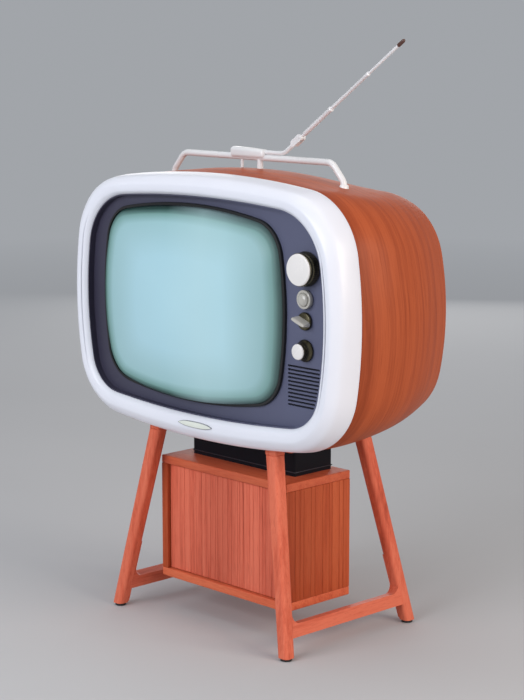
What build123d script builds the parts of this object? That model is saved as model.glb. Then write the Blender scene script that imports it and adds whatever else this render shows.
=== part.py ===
from build123d import *
from math import atan2, cos, degrees, hypot, radians, sin, sqrt
import os

# A table-top valve television on splayed wooden legs, with a small wooden
# storage box hanging under it and a telescopic aerial on its carrying handle.
# Millimetres. The origin is on the floor, midway between the four feet:
# +X to the right of the screen, +Y to the rear, +Z up.

# ------------------------------------------------------------ driving sizes

# Picture tube: 17 inch, 110 degree, short neck.
tube_x = -22.3              # the tube sits left of centre, the controls right of it
tube_z = 465.8
crown_y = -143.0            # front of the screen's dome
dome_radius = 750.0
seal_y = -62.0              # where the faceplate meets the funnel
glass_outline = (182.3, 134.6, 760.0, 460.0, 51.0)
glass_wall = 9.0
glass_edge_radius = 9.0
funnel_wall = 4.0
funnel_sections = (
    (seal_y, *glass_outline),
    (-32.0, 124.0, 102.0, 420.0, 380.0, 56.0),
    (-6.0, 62.0, 56.0, 130.0, 120.0, 34.0),
    (14.0, 27.0, 27.0, 40.0, 40.0, 20.0),
    (26.0, 14.6, 14.6, 21.0, 21.0, 11.0),
)
neck_radius = 14.3
neck_end_y = 116.0

# Cabinet: each outline is half width, half height, radius of the top and
# bottom arcs, radius of the side arcs, corner radius. A sixth number is the
# radius of the lower corners where they differ from the upper ones.
cabinet_z = 458.8           # height of the middle of the shell and bezel
wall = 12.0
front_edge_y = -85.0        # wooden shell meets the moulded bezel
rear_edge_y = 105.0
shell_sections = (
    (front_edge_y, 272.6, 185.3, 1433.0, 577.0, 97.8),
    (-45.8, 285.1, 188.7, 1050.0, 520.0, 97.0),
    (4.2, 287.1, 187.9, 850.0, 465.0, 97.8),
    (57.2, 272.5, 174.9, 1300.0, 415.0, 103.4),
    (rear_edge_y, 253.4, 155.8, 3000.0, 373.0, 90.1),
)
crest_y = -128.0            # most forward part of the bezel
bezel_sections = (
    (front_edge_y, 273.4, 186.1, 1433.0, 577.0, 98.1),
    (-91.0, 274.1, 186.8, 1433.0, 577.0, 98.8),
    (-98.0, 273.4, 186.1, 1433.0, 577.0, 98.8),
    (-110.0, 271.6, 184.3, 1431.0, 575.0, 97.6),
    (-117.8, 269.0, 181.7, 1429.0, 573.0, 95.8),
    (-123.9, 262.8, 175.9, 1422.0, 566.0, 89.8),
    (crest_y, 256.4, 170.1, 1412.0, 556.0, 81.8),
)
opening_z = 463.0           # the front opening sits a little above the middle
opening_outline = (240.3, 152.3, 1800.0, 482.0, 85.0, 59.0)
opening_lip_y = -122.0
opening_flare = 5.5         # how much the opening widens towards the crest
groove_inset = 7.8          # fine groove round the inner bead of the bezel
groove_width = 1.6
groove_depth = 2.0
mask_front_y = -111.8
mask_thickness = 3.0
mask_overlap = 5.5          # how far the mask reaches behind the bezel's lip
mask_back_y = mask_front_y + mask_thickness
mask_rim_y = -121.0         # the mask's upturned rim lines the bezel's lip
mask_rim_thickness = 1.5
fit_gap = 0.2
baffle_thickness = 12.0
baffle_back_y = front_edge_y + baffle_thickness
baffle_window = (204.0, 496.0, 64.0, 164.0)     # x, z, width and height
cover_y = 99.0              # rear cover seats in a rebate here
cover_thickness = 3.0

gasket_width = 3.7
gasket_front_y = -116.5
gasket_back_y = -103.0
badge_front_y = -130.0
badge_z = 299.0
badge_length = 69.0
badge_height = 9.0
band_back_y = -66.0
lug_centres = [(side_x * 173, side_z * 123) for side_x in (-1, 1) for side_z in (-1, 1)]
cup_radius = (64.0, 46.0)   # neck cup, at the cover and at its end
cup_end_y = 143.0
cup_wall = 3.0
cover_screws_at = [(x, cabinet_z + side * 137.0) for side in (-1, 1) for x in (-130, 0, 130)]
cover_screws_at += [(-242.0, cabinet_z), (242.0, cabinet_z)]
mains_at = (-150.0, 337.0)  # rear sockets, x and z
aerial_at = (150.0, 337.0)

# Controls, as (x, z) on the mask.
channel_at = (202.0, 534.0)
contrast_at = (200.5, 494.0)
tone_at = (199.0, 465.0)
volume_at = (199.0, 426.0)
shaft_radius = 3.0
shaft_clearance = 0.08
knob_back_y = -113.2
channel_hole = 5.5
pot_hole = 3.6
pot_shaft_end_y = -98.0
tuner_end_y = -36.0
cap_shaft_front = 127.0     # the channel shaft ends this far in front of the origin
tone_bar_angle = -20.0      # pointer bar at rest, from the horizontal

# Loudspeaker and its louvres.
louvre_count = 11
louvre_top_z = 402.5
louvre_pitch = 5.2
louvre_left_x = 165.7
louvre_right_x = 224.6
louvre_taper = 10.6         # how much shorter the lowest louvre is
louvre_height = 2.6
speaker_at = (197.0, 376.5)
speaker_radius = 31.0
cloth_at = (196.5, 376.5)
cloth_size = (64.0, 58.0)
cloth_thickness = 1.0

# Works on the chassis.
chassis_z = 304.0
chassis_height = 30.0
chassis_length = 270.0
chassis_depth = 84.0
chassis_centre_x = -15.0
chassis_centre_y = 3.0
runner_y = (-28.0, 35.0)
valves_at = [(-134 + 30 * number, 32) for number in range(8)]
valve_heights = (46.0, 54.0, 40.0)
mains_transformer_x = -121.0
line_transformer_x = 101.0
anode_y = -12.0
anode_z = 470.0
capacitors_x = (-79.0, -52.0, 68.0)

# Handle and aerial.
handle_y = -12.0
handle_foot_x = 170.5
handle_foot_z = 620.0       # its ends run down into the cabinet's wall
handle_knee_z = 638.0
handle_bend_x = 148.0
handle_bar_z = 663.4
handle_bend_radius = 20.0
handle_tube_radius = 4.4
handle_screw_z = 612.5      # underside of the screw heads inside the cabinet
handle_screw_radius = 2.5
handle_screw_end_z = 635.0
block_x = (-46.0, 22.0)
block_z = (662.0, 677.0)
block_depth = 15.0
posts = ((-27.0, 2.2), (9.5, 4.2))      # x and radius of the block's posts
arm_z = 671.0
arm_radius = 3.0
arm_spigot_radius = 2.8
spigot_x = -14.0
knuckle_radius = 4.6
knuckle_depth = 9.0
tongue_depth = 3.4
pivot_radius = 1.4
arm_bend_x = 57.0
elbow = (89.2, 694.4)       # x, z of the aerial's tilt axis
rod_end = (275.8, 827.0)    # x, z of the aerial's tip
rod_length = hypot(rod_end[0] - elbow[0], rod_end[1] - elbow[1])
rod_slope = atan2(rod_end[1] - elbow[1], rod_end[0] - elbow[0])
arm_slope = atan2(elbow[1] - arm_z, elbow[0] - arm_bend_x)
section_ends = (71.0, 153.0, 216.0)     # along the rod, from the elbow
section_radii = (3.3, 2.6, 2.0)
base_start = 8.4            # where the first tube begins, clear of the knuckle
section_overlap = 11.0
rod_clearance = 0.06

# Stand.
foot_x = 174.0
foot_y = 122.0
glide_height = 4.0
leg_foot_size = 18.5
leg_top_size = 21.0
front_leg_top = (120.5, -91.0, 270.5)
rear_leg_top = (120.5, 80.0, 277.5)
plate_thickness = 2.5
plate_size = (34.0, 54.0)
plate_shift = 16.0
cleat_depth = 30.0
cleat_shift = 12.0
screw_spacing = 20.0
screw_radius = 2.0
stud_depth = 24.0
stretcher_z = 36.0
stretcher_size = 18.0
bolt_radius = 3.0

# Storage box and the dark plinth that carries it.
box_half_width = 129.5
box_front_y = -78.0
box_back_y = 48.0
box_bottom_z = 46.5
box_top_z = 227.9
board = 12.0
door_recess = 5.0
door_thickness = 12.0
door_gap = 3.0
door_stile = 30.0
slat_count = 17
pin_radius = 2.5
pivot_at = (box_half_width - board - door_gap - 6.0, box_front_y + door_recess + 6.0)
plinth_half_width = 105.0
plinth_y = (-38.0, 36.0)
plinth_wall = 4.0
hanger_x = 80.0
hanger_y = (-12.0, 18.0)


# ------------------------------------------------------------ shared shapes

def facing_front(x, y, z):
    """Plane whose normal points out of the front, with its y along +Z."""
    return Plane(origin=(x, y, z), x_dir=(1, 0, 0), z_dir=(0, -1, 0))


def turning_plane(x, z):
    """Plane for a profile of (radius, y) turned about the front-to-back line at x, z."""
    return Plane(origin=(x, 0, z), x_dir=(1, 0, 0), z_dir=(0, 0, 1))


def turning_axis(x, z):
    return Axis((x, 0, z), (0, 1, 0))


def bowed_face(y, half_width, half_height, top_radius, side_radius, top_corner,
               low_corner=None, centre=(0.0, cabinet_z)):
    """Upright face at depth y: four bowed sides and rounded corners."""
    corner_x = half_width
    corner_z = half_height
    for _ in range(30):
        corner_x = half_width - side_radius + sqrt(side_radius**2 - corner_z**2)
        corner_z = half_height - top_radius + sqrt(top_radius**2 - corner_x**2)
    with BuildSketch(facing_front(centre[0], y, centre[1])) as face:
        with BuildLine():
            ThreePointArc((-corner_x, corner_z), (0, half_height), (corner_x, corner_z))
            ThreePointArc((corner_x, corner_z), (half_width, 0), (corner_x, -corner_z))
            ThreePointArc((corner_x, -corner_z), (0, -half_height), (-corner_x, -corner_z))
            ThreePointArc((-corner_x, -corner_z), (-half_width, 0), (-corner_x, corner_z))
        make_face()
        fillet(face.vertices().filter_by_position(Axis.Y, 0, half_height), top_corner)
        lower = face.vertices().filter_by_position(Axis.Y, -half_height, 10 - corner_z)
        fillet(lower, top_corner if low_corner is None else low_corner)
    return face.sketch


def grown(outline, amount):
    """The same outline, moved outwards by amount (inwards when negative)."""
    return tuple(size + amount for size in outline)


def solid_through(sections, growth=0.0):
    """Smooth solid through a row of bowed outlines."""
    with BuildPart() as body:
        loft([bowed_face(y, *grown(outline, growth)) for y, *outline in sections])
    return body.part


def tube_solid(growth=0.0):
    """The funnel's solid shape, without the neck."""
    with BuildPart() as body:
        loft([bowed_face(y, *grown(outline, growth), centre=(tube_x, tube_z))
              for y, *outline in funnel_sections])
    return body.part


def glass_face(y, growth=0.0):
    return bowed_face(y, *grown(glass_outline, growth), centre=(tube_x, tube_z))


def opening_face(y, growth=0.0):
    return bowed_face(y, *grown(opening_outline, growth), centre=(0.0, opening_z))


def plank_edges(left, right):
    """Left edges of narrow planks of uneven width between left and right."""
    widths = [10 + 4 * sin(2.4 * number) for number in range(slat_count)]
    scale = (right - left) / sum(widths)
    return [left + scale * sum(widths[:number]) for number in range(slat_count)]


def rod_plane(distance):
    """Plane square to the aerial rod, at a distance from the elbow."""
    point = (elbow[0] + distance * cos(rod_slope), handle_y, elbow[1] + distance * sin(rod_slope))
    return Plane(origin=point, x_dir=(0, 1, 0), z_dir=(cos(rod_slope), 0, sin(rod_slope)))


def rod_piece(start, end, radius):
    """Round bar along the aerial, from start to end."""
    with BuildPart() as piece:
        with BuildSketch(rod_plane(start)):
            Circle(radius)
        extrude(amount=end - start)
    return piece.part


shell_body = solid_through(shell_sections)
shell_cavity = solid_through(shell_sections, -wall)


def finish(piece, name):
    piece.part.label = name
    export_step(piece.part, f"parts/{name}.step")


# ------------------------------------------------------------ stand

leg_tops = (
    (front_leg_top[0], front_leg_top[1], front_leg_top[2], -foot_y),
    (rear_leg_top[0], rear_leg_top[1], rear_leg_top[2], foot_y),
)


def inward(y):
    """Direction from a leg towards the middle of the stand."""
    return 1 if y < 0 else -1


def leg_solid(side, top_x, top_y, top_z, foot_at_y):
    """One splayed, slightly tapered leg with softened corners."""
    with BuildPart() as leg:
        with BuildSketch(Plane((side * foot_x, foot_at_y, glide_height))):
            RectangleRounded(leg_foot_size, leg_foot_size, 6)
        with BuildSketch(Plane((side * top_x, top_y, top_z))):
            RectangleRounded(leg_top_size, leg_top_size, 6)
        loft()
        with BuildSketch(Plane((side * top_x, top_y, top_z))):
            Circle(bolt_radius)
        extrude(amount=-stud_depth, mode=Mode.SUBTRACT)
    return leg.part


all_legs = [leg_solid(side, *top) for side in (-1, 1) for top in leg_tops]

with BuildPart() as legs:
    for leg in all_legs:
        add(leg)
finish(legs, "legs")


def stretcher_outline():
    """Side rail with sculpted ends, drawn in (y, height up the splay)."""
    lean = hypot(foot_x - front_leg_top[0], front_leg_top[2]) / front_leg_top[2]
    height = 100.0
    run = height / front_leg_top[2]
    front_shift = (front_leg_top[1] + foot_y) * run
    rear_shift = (rear_leg_top[1] - foot_y) * height / rear_leg_top[2]
    half_leg = leg_foot_size / 2 - 1.2
    with BuildSketch() as outline:
        with Locations((0, stretcher_z * lean)):
            Rectangle(2 * foot_y - 12, stretcher_size)
        for y, shift in ((-foot_y, front_shift), (foot_y, rear_shift)):
            with BuildLine():
                Polyline((y - half_leg, glide_height + 4), (y + half_leg, glide_height + 4),
                         (y + half_leg + shift, height * lean), (y - half_leg + shift, height * lean),
                         close=True)
            make_face()
        inner = outline.vertices().filter_by_position(Axis.Y, 15, 80)
        inner = inner.filter_by_position(Axis.X, -foot_y + 12, foot_y - 12)
        fillet(inner, 13)
    return outline.sketch


with BuildPart() as side_stretchers:
    splay = atan2(foot_x - front_leg_top[0], front_leg_top[2])
    for side in (-1, 1):
        with BuildSketch(Plane(origin=(side * foot_x, 0, 0), x_dir=(0, 1, 0),
                               z_dir=(cos(splay), 0, side * sin(splay)))):
            add(stretcher_outline())
        extrude(amount=stretcher_size / 2 - 0.8, both=True)
    for leg in all_legs:
        add(leg, mode=Mode.SUBTRACT)
    slivers = [solid for solid in side_stretchers.solids() if solid.volume < 20000]
    for sliver in slivers:
        add(sliver, mode=Mode.SUBTRACT)
finish(side_stretchers, "side_stretchers")

with BuildPart() as foot_glides:
    with GridLocations(2 * foot_x, 2 * foot_y, 2, 2):
        Cylinder(8, glide_height, align=(Align.CENTER, Align.CENTER, Align.MIN))
    chamfer(foot_glides.edges().group_by(Axis.Z)[0], 0.8)
finish(foot_glides, "foot_glides")

# Each plate reaches from its leg towards the middle, where it is screwed to a
# wooden cleat under the cabinet.
plate_centres = (front_leg_top[1] + plate_shift, rear_leg_top[1] - plate_shift)

with BuildPart() as leg_plates:
    for side in (-1, 1):
        for (top_x, top_y, top_z, _), centre_y in zip(leg_tops, plate_centres):
            with BuildSketch(Plane((side * top_x, centre_y, top_z))):
                RectangleRounded(*plate_size, 5)
                with Locations((0, top_y - centre_y)):
                    Circle(bolt_radius, mode=Mode.SUBTRACT)
                with Locations((0, inward(top_y) * cleat_shift)):
                    with GridLocations(screw_spacing, screw_spacing, 2, 2):
                        Circle(screw_radius, mode=Mode.SUBTRACT)
            extrude(amount=plate_thickness)
finish(leg_plates, "leg_plates")

with BuildPart() as leg_cleats:
    for side in (-1, 1):
        for (top_x, top_y, top_z, _), centre_y in zip(leg_tops, plate_centres):
            with BuildSketch(Plane((side * top_x, centre_y, top_z + plate_thickness))):
                with Locations((0, inward(top_y) * cleat_shift)):
                    RectangleRounded(plate_size[0], cleat_depth, 4)
                    with GridLocations(screw_spacing, screw_spacing, 2, 2):
                        Circle(screw_radius, mode=Mode.SUBTRACT)
            extrude(amount=30)
    add(shell_body, mode=Mode.SUBTRACT)
finish(leg_cleats, "leg_cleats")

# ------------------------------------------------------------ cabinet

with BuildPart() as cabinet_shell:
    add(shell_body)
    add(shell_cavity, mode=Mode.SUBTRACT)
    extrude(bowed_face(rear_edge_y, *grown(shell_sections[-1][1:], -wall + 7)),
            amount=rear_edge_y - cover_y, mode=Mode.SUBTRACT)
    for side in (-1, 1):
        for y in hanger_y:
            with Locations((side * hanger_x, y, 300)):
                Cylinder(bolt_radius, 80, mode=Mode.SUBTRACT)
        with Locations((side * handle_foot_x, handle_y, handle_foot_z)):
            Cylinder(handle_screw_radius, 60, mode=Mode.SUBTRACT)
finish(cabinet_shell, "cabinet_shell")

with BuildPart() as front_bezel:
    add(solid_through(bezel_sections))
    loft([opening_face(opening_lip_y), opening_face(crest_y, opening_flare)], mode=Mode.SUBTRACT)
    extrude(opening_face(front_edge_y), amount=front_edge_y - opening_lip_y, mode=Mode.SUBTRACT)
    extrude(opening_face(front_edge_y, mask_overlap + 0.5), amount=front_edge_y - mask_front_y,
            mode=Mode.SUBTRACT)
    # A fine groove separates the raised inner bead from the main ring.
    with BuildPart(mode=Mode.PRIVATE) as groove:
        extrude(opening_face(crest_y, groove_inset + groove_width), amount=-groove_depth)
        extrude(opening_face(crest_y, groove_inset), amount=-groove_depth, mode=Mode.SUBTRACT)
    add(groove.part, mode=Mode.SUBTRACT)
finish(front_bezel, "front_bezel")

with BuildPart() as front_baffle:
    extrude(bowed_face(front_edge_y, *grown(shell_sections[0][1:], -wall - 0.5)),
            amount=-baffle_thickness)
    extrude(glass_face(front_edge_y, 4), amount=-baffle_thickness, mode=Mode.SUBTRACT)
    with BuildSketch(facing_front(0, front_edge_y, 0)):
        with Locations(baffle_window[:2]):
            RectangleRounded(*baffle_window[2:], 8)
        with Locations(speaker_at):
            Circle(speaker_radius + 1.5)
    extrude(amount=-baffle_thickness, mode=Mode.SUBTRACT)
    add(shell_cavity, mode=Mode.INTERSECT)
finish(front_baffle, "front_baffle")

with BuildPart() as control_mask:
    extrude(opening_face(mask_back_y, mask_overlap), amount=mask_thickness)
    extrude(opening_face(mask_front_y, -fit_gap), amount=mask_front_y - mask_rim_y)
    extrude(opening_face(mask_front_y, -fit_gap - mask_rim_thickness),
            amount=mask_front_y - mask_rim_y, mode=Mode.SUBTRACT)
    extrude(glass_face(mask_back_y, gasket_width), amount=mask_thickness, mode=Mode.SUBTRACT)
    with BuildSketch(facing_front(0, mask_back_y, 0)):
        with Locations(channel_at):
            Circle(channel_hole)
        with Locations(contrast_at, tone_at, volume_at):
            Circle(pot_hole)
        for row in range(louvre_count):
            length = louvre_right_x - louvre_left_x - louvre_taper * (row / (louvre_count - 1))**2
            with Locations((louvre_left_x + length / 2, louvre_top_z - row * louvre_pitch)):
                SlotOverall(length, louvre_height)
    extrude(amount=mask_thickness, mode=Mode.SUBTRACT)
finish(control_mask, "control_mask")

with BuildPart() as speaker_cloth:
    with BuildSketch(facing_front(0, mask_back_y, 0)):
        with Locations(cloth_at):
            Rectangle(*cloth_size)
    extrude(amount=-cloth_thickness)
finish(speaker_cloth, "speaker_cloth")

with BuildPart() as screen_gasket:
    extrude(glass_face(gasket_back_y, gasket_width), amount=gasket_back_y - gasket_front_y)
    extrude(glass_face(gasket_back_y), amount=gasket_back_y - gasket_front_y, mode=Mode.SUBTRACT)
    chamfer(screen_gasket.faces().sort_by(Axis.Y)[0].outer_wire().edges(), 0.7)
finish(screen_gasket, "screen_gasket")

with BuildPart() as badge_plate:
    with BuildSketch(facing_front(0, badge_front_y, badge_z)):
        with BuildLine():
            ThreePointArc((-badge_length / 2, 0), (0, badge_height / 2), (badge_length / 2, 0))
            ThreePointArc((badge_length / 2, 0), (0, -badge_height / 2), (-badge_length / 2, 0))
        make_face()
    extrude(amount=-5)
    add(front_bezel.part, mode=Mode.SUBTRACT)
finish(badge_plate, "badge_plate")

with BuildPart() as rear_cover:
    extrude(bowed_face(cover_y + cover_thickness, *grown(shell_sections[-1][1:], -wall + 6.5)),
            amount=cover_thickness)
    with BuildSketch(turning_plane(tube_x, tube_z)):
        Polygon((0, cover_y), (cup_radius[0], cover_y), (cup_radius[0], cover_y + cover_thickness),
                (cup_radius[1], cup_end_y), (0, cup_end_y), align=None)
    revolve(axis=turning_axis(tube_x, tube_z))
    with BuildSketch(turning_plane(tube_x, tube_z)):
        Polygon((0, cover_y), (cup_radius[0] - cup_wall, cover_y),
                (cup_radius[1] - cup_wall, cup_end_y - cup_wall), (0, cup_end_y - cup_wall),
                align=None)
    revolve(axis=turning_axis(tube_x, tube_z), mode=Mode.SUBTRACT)
    with BuildSketch(facing_front(0, cover_y + cover_thickness, cabinet_z)):
        with Locations((0, 96), (0, -96)):
            with GridLocations(44, 12, 9, 3):
                SlotOverall(34, 4)
        with Locations((150, 0), (-185, 0)):
            with GridLocations(44, 12, 2, 8):
                SlotOverall(34, 4)
    extrude(amount=cover_thickness, mode=Mode.SUBTRACT)
    with BuildSketch(facing_front(tube_x, cup_end_y, tube_z)):
        with PolarLocations(cup_radius[1] - 16, 8):
            SlotOverall(18, 4)
    extrude(amount=cup_wall, mode=Mode.SUBTRACT)
    with BuildSketch(facing_front(0, cover_y + cover_thickness, 0)):
        with Locations(*cover_screws_at):
            Circle(1.6)
        with Locations(mains_at):
            Rectangle(30, 22)
        with Locations(aerial_at):
            Circle(8)
    extrude(amount=cover_thickness, mode=Mode.SUBTRACT)
finish(rear_cover, "rear_cover")

with BuildPart() as rear_sockets:
    with BuildSketch(facing_front(0, cover_y + cover_thickness + 4, 0)):
        with Locations(mains_at):
            Rectangle(30, 22)
        with Locations(aerial_at):
            Circle(8)
    extrude(amount=22)
    with BuildSketch(facing_front(0, cover_y + cover_thickness + 4, 0)):
        with Locations(mains_at):
            with GridLocations(12, 1, 2, 1):
                Circle(2.2)
        with Locations(aerial_at):
            Circle(3)
    extrude(amount=12, mode=Mode.SUBTRACT)
finish(rear_sockets, "rear_sockets")

# ------------------------------------------------------------ picture tube

with BuildPart() as face_cavity:
    extrude(glass_face(seal_y, -glass_wall), amount=seal_y - crown_y)
    with Locations((tube_x, crown_y + dome_radius, tube_z)):
        Sphere(dome_radius - 11, mode=Mode.INTERSECT)

with BuildPart() as crt_faceplate:
    extrude(glass_face(seal_y), amount=seal_y - crown_y + 5)
    with Locations((tube_x, crown_y + dome_radius, tube_z)):
        Sphere(dome_radius, mode=Mode.INTERSECT)
    fillet(crt_faceplate.faces().sort_by(Axis.Y)[0].edges(), glass_edge_radius)
    add(face_cavity.part, mode=Mode.SUBTRACT)
finish(crt_faceplate, "crt_faceplate")

funnel_body = tube_solid()

with BuildPart() as crt_funnel:
    add(funnel_body)
    with BuildSketch(facing_front(tube_x, neck_end_y, tube_z)):
        Circle(neck_radius)
    extrude(amount=neck_end_y - 25)
    add(tube_solid(-funnel_wall), mode=Mode.SUBTRACT)
    with BuildSketch(facing_front(tube_x, neck_end_y - 2, tube_z)):
        Circle(neck_radius - 1.6)
    extrude(amount=neck_end_y - 24, mode=Mode.SUBTRACT)
finish(crt_funnel, "crt_funnel")

with BuildPart() as crt_base:
    with BuildSketch(facing_front(tube_x, neck_end_y, tube_z)):
        Circle(15.5)
    extrude(amount=-18)
    with BuildSketch(facing_front(tube_x, neck_end_y + 18, tube_z)):
        with PolarLocations(8, 7):
            Circle(1.4)
    extrude(amount=8, mode=Mode.SUBTRACT)
    fillet(crt_base.faces().sort_by(Axis.Y)[-1].outer_wire().edges(), 1.5)
finish(crt_base, "crt_base")

with BuildPart() as crt_band:
    extrude(glass_face(band_back_y, 2), amount=band_back_y - baffle_back_y)
    with BuildSketch(facing_front(tube_x, baffle_back_y + 2.5, tube_z)):
        for lug_x, lug_z in lug_centres:
            with Locations((0.965 * lug_x, 0.95 * lug_z)):
                SlotCenterToCenter(12, 18, rotation=degrees(atan2(lug_z, lug_x)))
    extrude(amount=2.5)
    extrude(glass_face(band_back_y), amount=band_back_y - baffle_back_y, mode=Mode.SUBTRACT)
    with BuildSketch(facing_front(tube_x, baffle_back_y + 2.5, tube_z)):
        with Locations(*lug_centres):
            Circle(2.5)
    extrude(amount=2.5, mode=Mode.SUBTRACT)
finish(crt_band, "crt_band")

with BuildPart() as deflection_coils:
    with BuildSketch(turning_plane(tube_x, tube_z)):
        Polygon((51, 6), (34, 15), (18, 25), (17, 48), (28, 48), (30, 30), (44, 20), (62, 12),
                (62, 6), align=None)
    revolve(axis=turning_axis(tube_x, tube_z))
    add(funnel_body, mode=Mode.SUBTRACT)
finish(deflection_coils, "deflection_coils")

with BuildPart() as deflection_core:
    with BuildSketch(turning_plane(tube_x, tube_z)):
        Polygon((37, 26), (31.5, 31), (31.5, 42), (42, 42), (47, 26), align=None)
    revolve(axis=turning_axis(tube_x, tube_z))
finish(deflection_core, "deflection_core")

# ------------------------------------------------------------ works

with BuildPart() as chassis_runners:
    for y in runner_y:
        with Locations((chassis_centre_x, y, chassis_z - 20)):
            Box(chassis_length, 12, 40)
    with Locations((0, 0, chassis_z + 25)):
        Box(600, 300, 50, mode=Mode.SUBTRACT)
    add(shell_cavity, mode=Mode.INTERSECT)
finish(chassis_runners, "chassis_runners")

with BuildPart() as chassis_tray:
    with Locations((chassis_centre_x, chassis_centre_y, chassis_z)):
        Box(chassis_length, chassis_depth, chassis_height,
            align=(Align.CENTER, Align.CENTER, Align.MIN))
    fillet(chassis_tray.edges().filter_by(Axis.Z), 3)
    offset(amount=-1.5, openings=chassis_tray.faces().sort_by(Axis.Z)[0])
    with BuildSketch(Plane((0, 0, chassis_z + chassis_height))):
        with Locations(*valves_at):
            Circle(8)
    extrude(amount=-2, mode=Mode.SUBTRACT)
finish(chassis_tray, "chassis_tray")

deck_z = chassis_z + chassis_height

with BuildPart() as valve_sockets:
    with BuildSketch(Plane((0, 0, deck_z))):
        with Locations(*valves_at):
            Circle(11)
    extrude(amount=3)
    with BuildSketch(Plane((0, 0, deck_z))):
        with Locations(*valves_at):
            Circle(8)
    extrude(amount=-8)
finish(valve_sockets, "valve_sockets")

with BuildPart() as valve_bulbs:
    for number, (x, y) in enumerate(valves_at):
        height = valve_heights[number % len(valve_heights)]
        with BuildSketch(Plane(origin=(x, y, deck_z + 3), x_dir=(1, 0, 0), z_dir=(0, -1, 0))):
            with BuildLine():
                Polyline((0, 0), (9.5, 0), (9.5, height - 9))
                ThreePointArc((9.5, height - 9), (6.8, height - 2.8), (2, height))
                Polyline((2, height), (1.2, height + 4), (0, height + 4), (0, 0))
            make_face()
        revolve(axis=Axis((x, y, 0), (0, 0, 1)))
finish(valve_bulbs, "valve_bulbs")

with BuildPart() as mains_transformer_core:
    with Locations((mains_transformer_x, -8, deck_z)):
        Box(54, 18, 44, align=(Align.CENTER, Align.CENTER, Align.MIN))
    with BuildSketch(facing_front(mains_transformer_x, 1, deck_z + 22)):
        with Locations((-14, 0), (14, 0)):
            Rectangle(12, 28)
    extrude(amount=20, mode=Mode.SUBTRACT)
finish(mains_transformer_core, "mains_transformer_core")

with BuildPart() as mains_transformer_coil:
    with Locations((mains_transformer_x, -8, deck_z + 8)):
        Box(40, 34, 28, align=(Align.CENTER, Align.CENTER, Align.MIN))
    fillet(mains_transformer_coil.edges().filter_by(Axis.Z), 6)
    add(mains_transformer_core.part, mode=Mode.SUBTRACT)
finish(mains_transformer_coil, "mains_transformer_coil")

with BuildPart() as line_transformer:
    with Locations((line_transformer_x, -4, deck_z)):
        Box(34, 34, 58, align=(Align.CENTER, Align.CENTER, Align.MIN))
    fillet(line_transformer.edges().filter_by(Axis.Z), 3)
    with Locations((line_transformer_x, anode_y, deck_z + 58)):
        Cylinder(4, 5, align=(Align.CENTER, Align.CENTER, Align.MIN))
finish(line_transformer, "line_transformer")

with BuildPart() as anode_lead:
    with BuildLine():
        FilletPolyline((line_transformer_x, anode_y, deck_z + 63),
                       (line_transformer_x, anode_y, anode_z), (tube_x + 60, anode_y, anode_z),
                       radius=16)
    with BuildSketch(Plane((line_transformer_x, anode_y, deck_z + 63))):
        Circle(2.2)
    sweep()
    with BuildSketch(Plane(origin=(tube_x + 60, anode_y, anode_z), z_dir=(1, 0, 0))):
        Circle(9)
    extrude(amount=22, taper=12)
    add(funnel_body, mode=Mode.SUBTRACT)
finish(anode_lead, "anode_lead")

with BuildPart() as smoothing_capacitors:
    for x in capacitors_x:
        with Locations((x, -4, deck_z)):
            Cylinder(12.5, 50, align=(Align.CENTER, Align.CENTER, Align.MIN))
    fillet(smoothing_capacitors.edges().group_by(Axis.Z)[-1], 2)
finish(smoothing_capacitors, "smoothing_capacitors")

with BuildPart() as speaker_basket:
    with BuildSketch(turning_plane(*speaker_at)):
        Polygon((0, -107.8), (speaker_radius, -107.8), (speaker_radius, -105.6), (27, -104),
                (15, -82), (0, -82), align=None)
    revolve(axis=turning_axis(*speaker_at))
    with BuildSketch(turning_plane(*speaker_at)):
        Polygon((0, -107.8), (27.5, -107.8), (25, -105), (13.5, -84), (0, -84), align=None)
    revolve(axis=turning_axis(*speaker_at), mode=Mode.SUBTRACT)
finish(speaker_basket, "speaker_basket")

with BuildPart() as speaker_cone:
    with BuildSketch(turning_plane(*speaker_at)):
        Polygon((26, -106.6), (23.4, -105.2), (9, -88), (0, -85.5), (0, -86.7), (8.4, -89),
                (22.8, -106.2), (25.6, -107.4), align=None)
    revolve(axis=turning_axis(*speaker_at))
finish(speaker_cone, "speaker_cone")

with BuildPart() as speaker_magnet:
    with BuildSketch(facing_front(speaker_at[0], -82, speaker_at[1])):
        Circle(16)
    extrude(amount=-20)
    chamfer(speaker_magnet.faces().sort_by(Axis.Y)[-1].edges(), 1.5)
finish(speaker_magnet, "speaker_magnet")

with BuildPart() as tuner_case:
    with Locations((channel_at[0], (mask_back_y + tuner_end_y) / 2, channel_at[1])):
        Box(50, tuner_end_y - mask_back_y, 58)
        Box(47, tuner_end_y - mask_back_y - 3, 55, mode=Mode.SUBTRACT)
    with BuildSketch(facing_front(channel_at[0], mask_back_y + 2, channel_at[1])):
        Circle(channel_hole)
    extrude(amount=4, mode=Mode.SUBTRACT)
    with BuildSketch(facing_front(channel_at[0], tuner_end_y + 1, channel_at[1])):
        Circle(shaft_radius + shaft_clearance)
    extrude(amount=4, mode=Mode.SUBTRACT)
finish(tuner_case, "tuner_case")

# ------------------------------------------------------------ controls

with BuildPart() as tuner_drum:
    with BuildSketch(facing_front(channel_at[0], -44, channel_at[1])):
        RegularPolygon(20, 12)
    extrude(amount=50)
    with BuildSketch(facing_front(channel_at[0], -33, channel_at[1])):
        Circle(shaft_radius)
    extrude(amount=cap_shaft_front - 33)
finish(tuner_drum, "tuner_drum")

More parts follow.
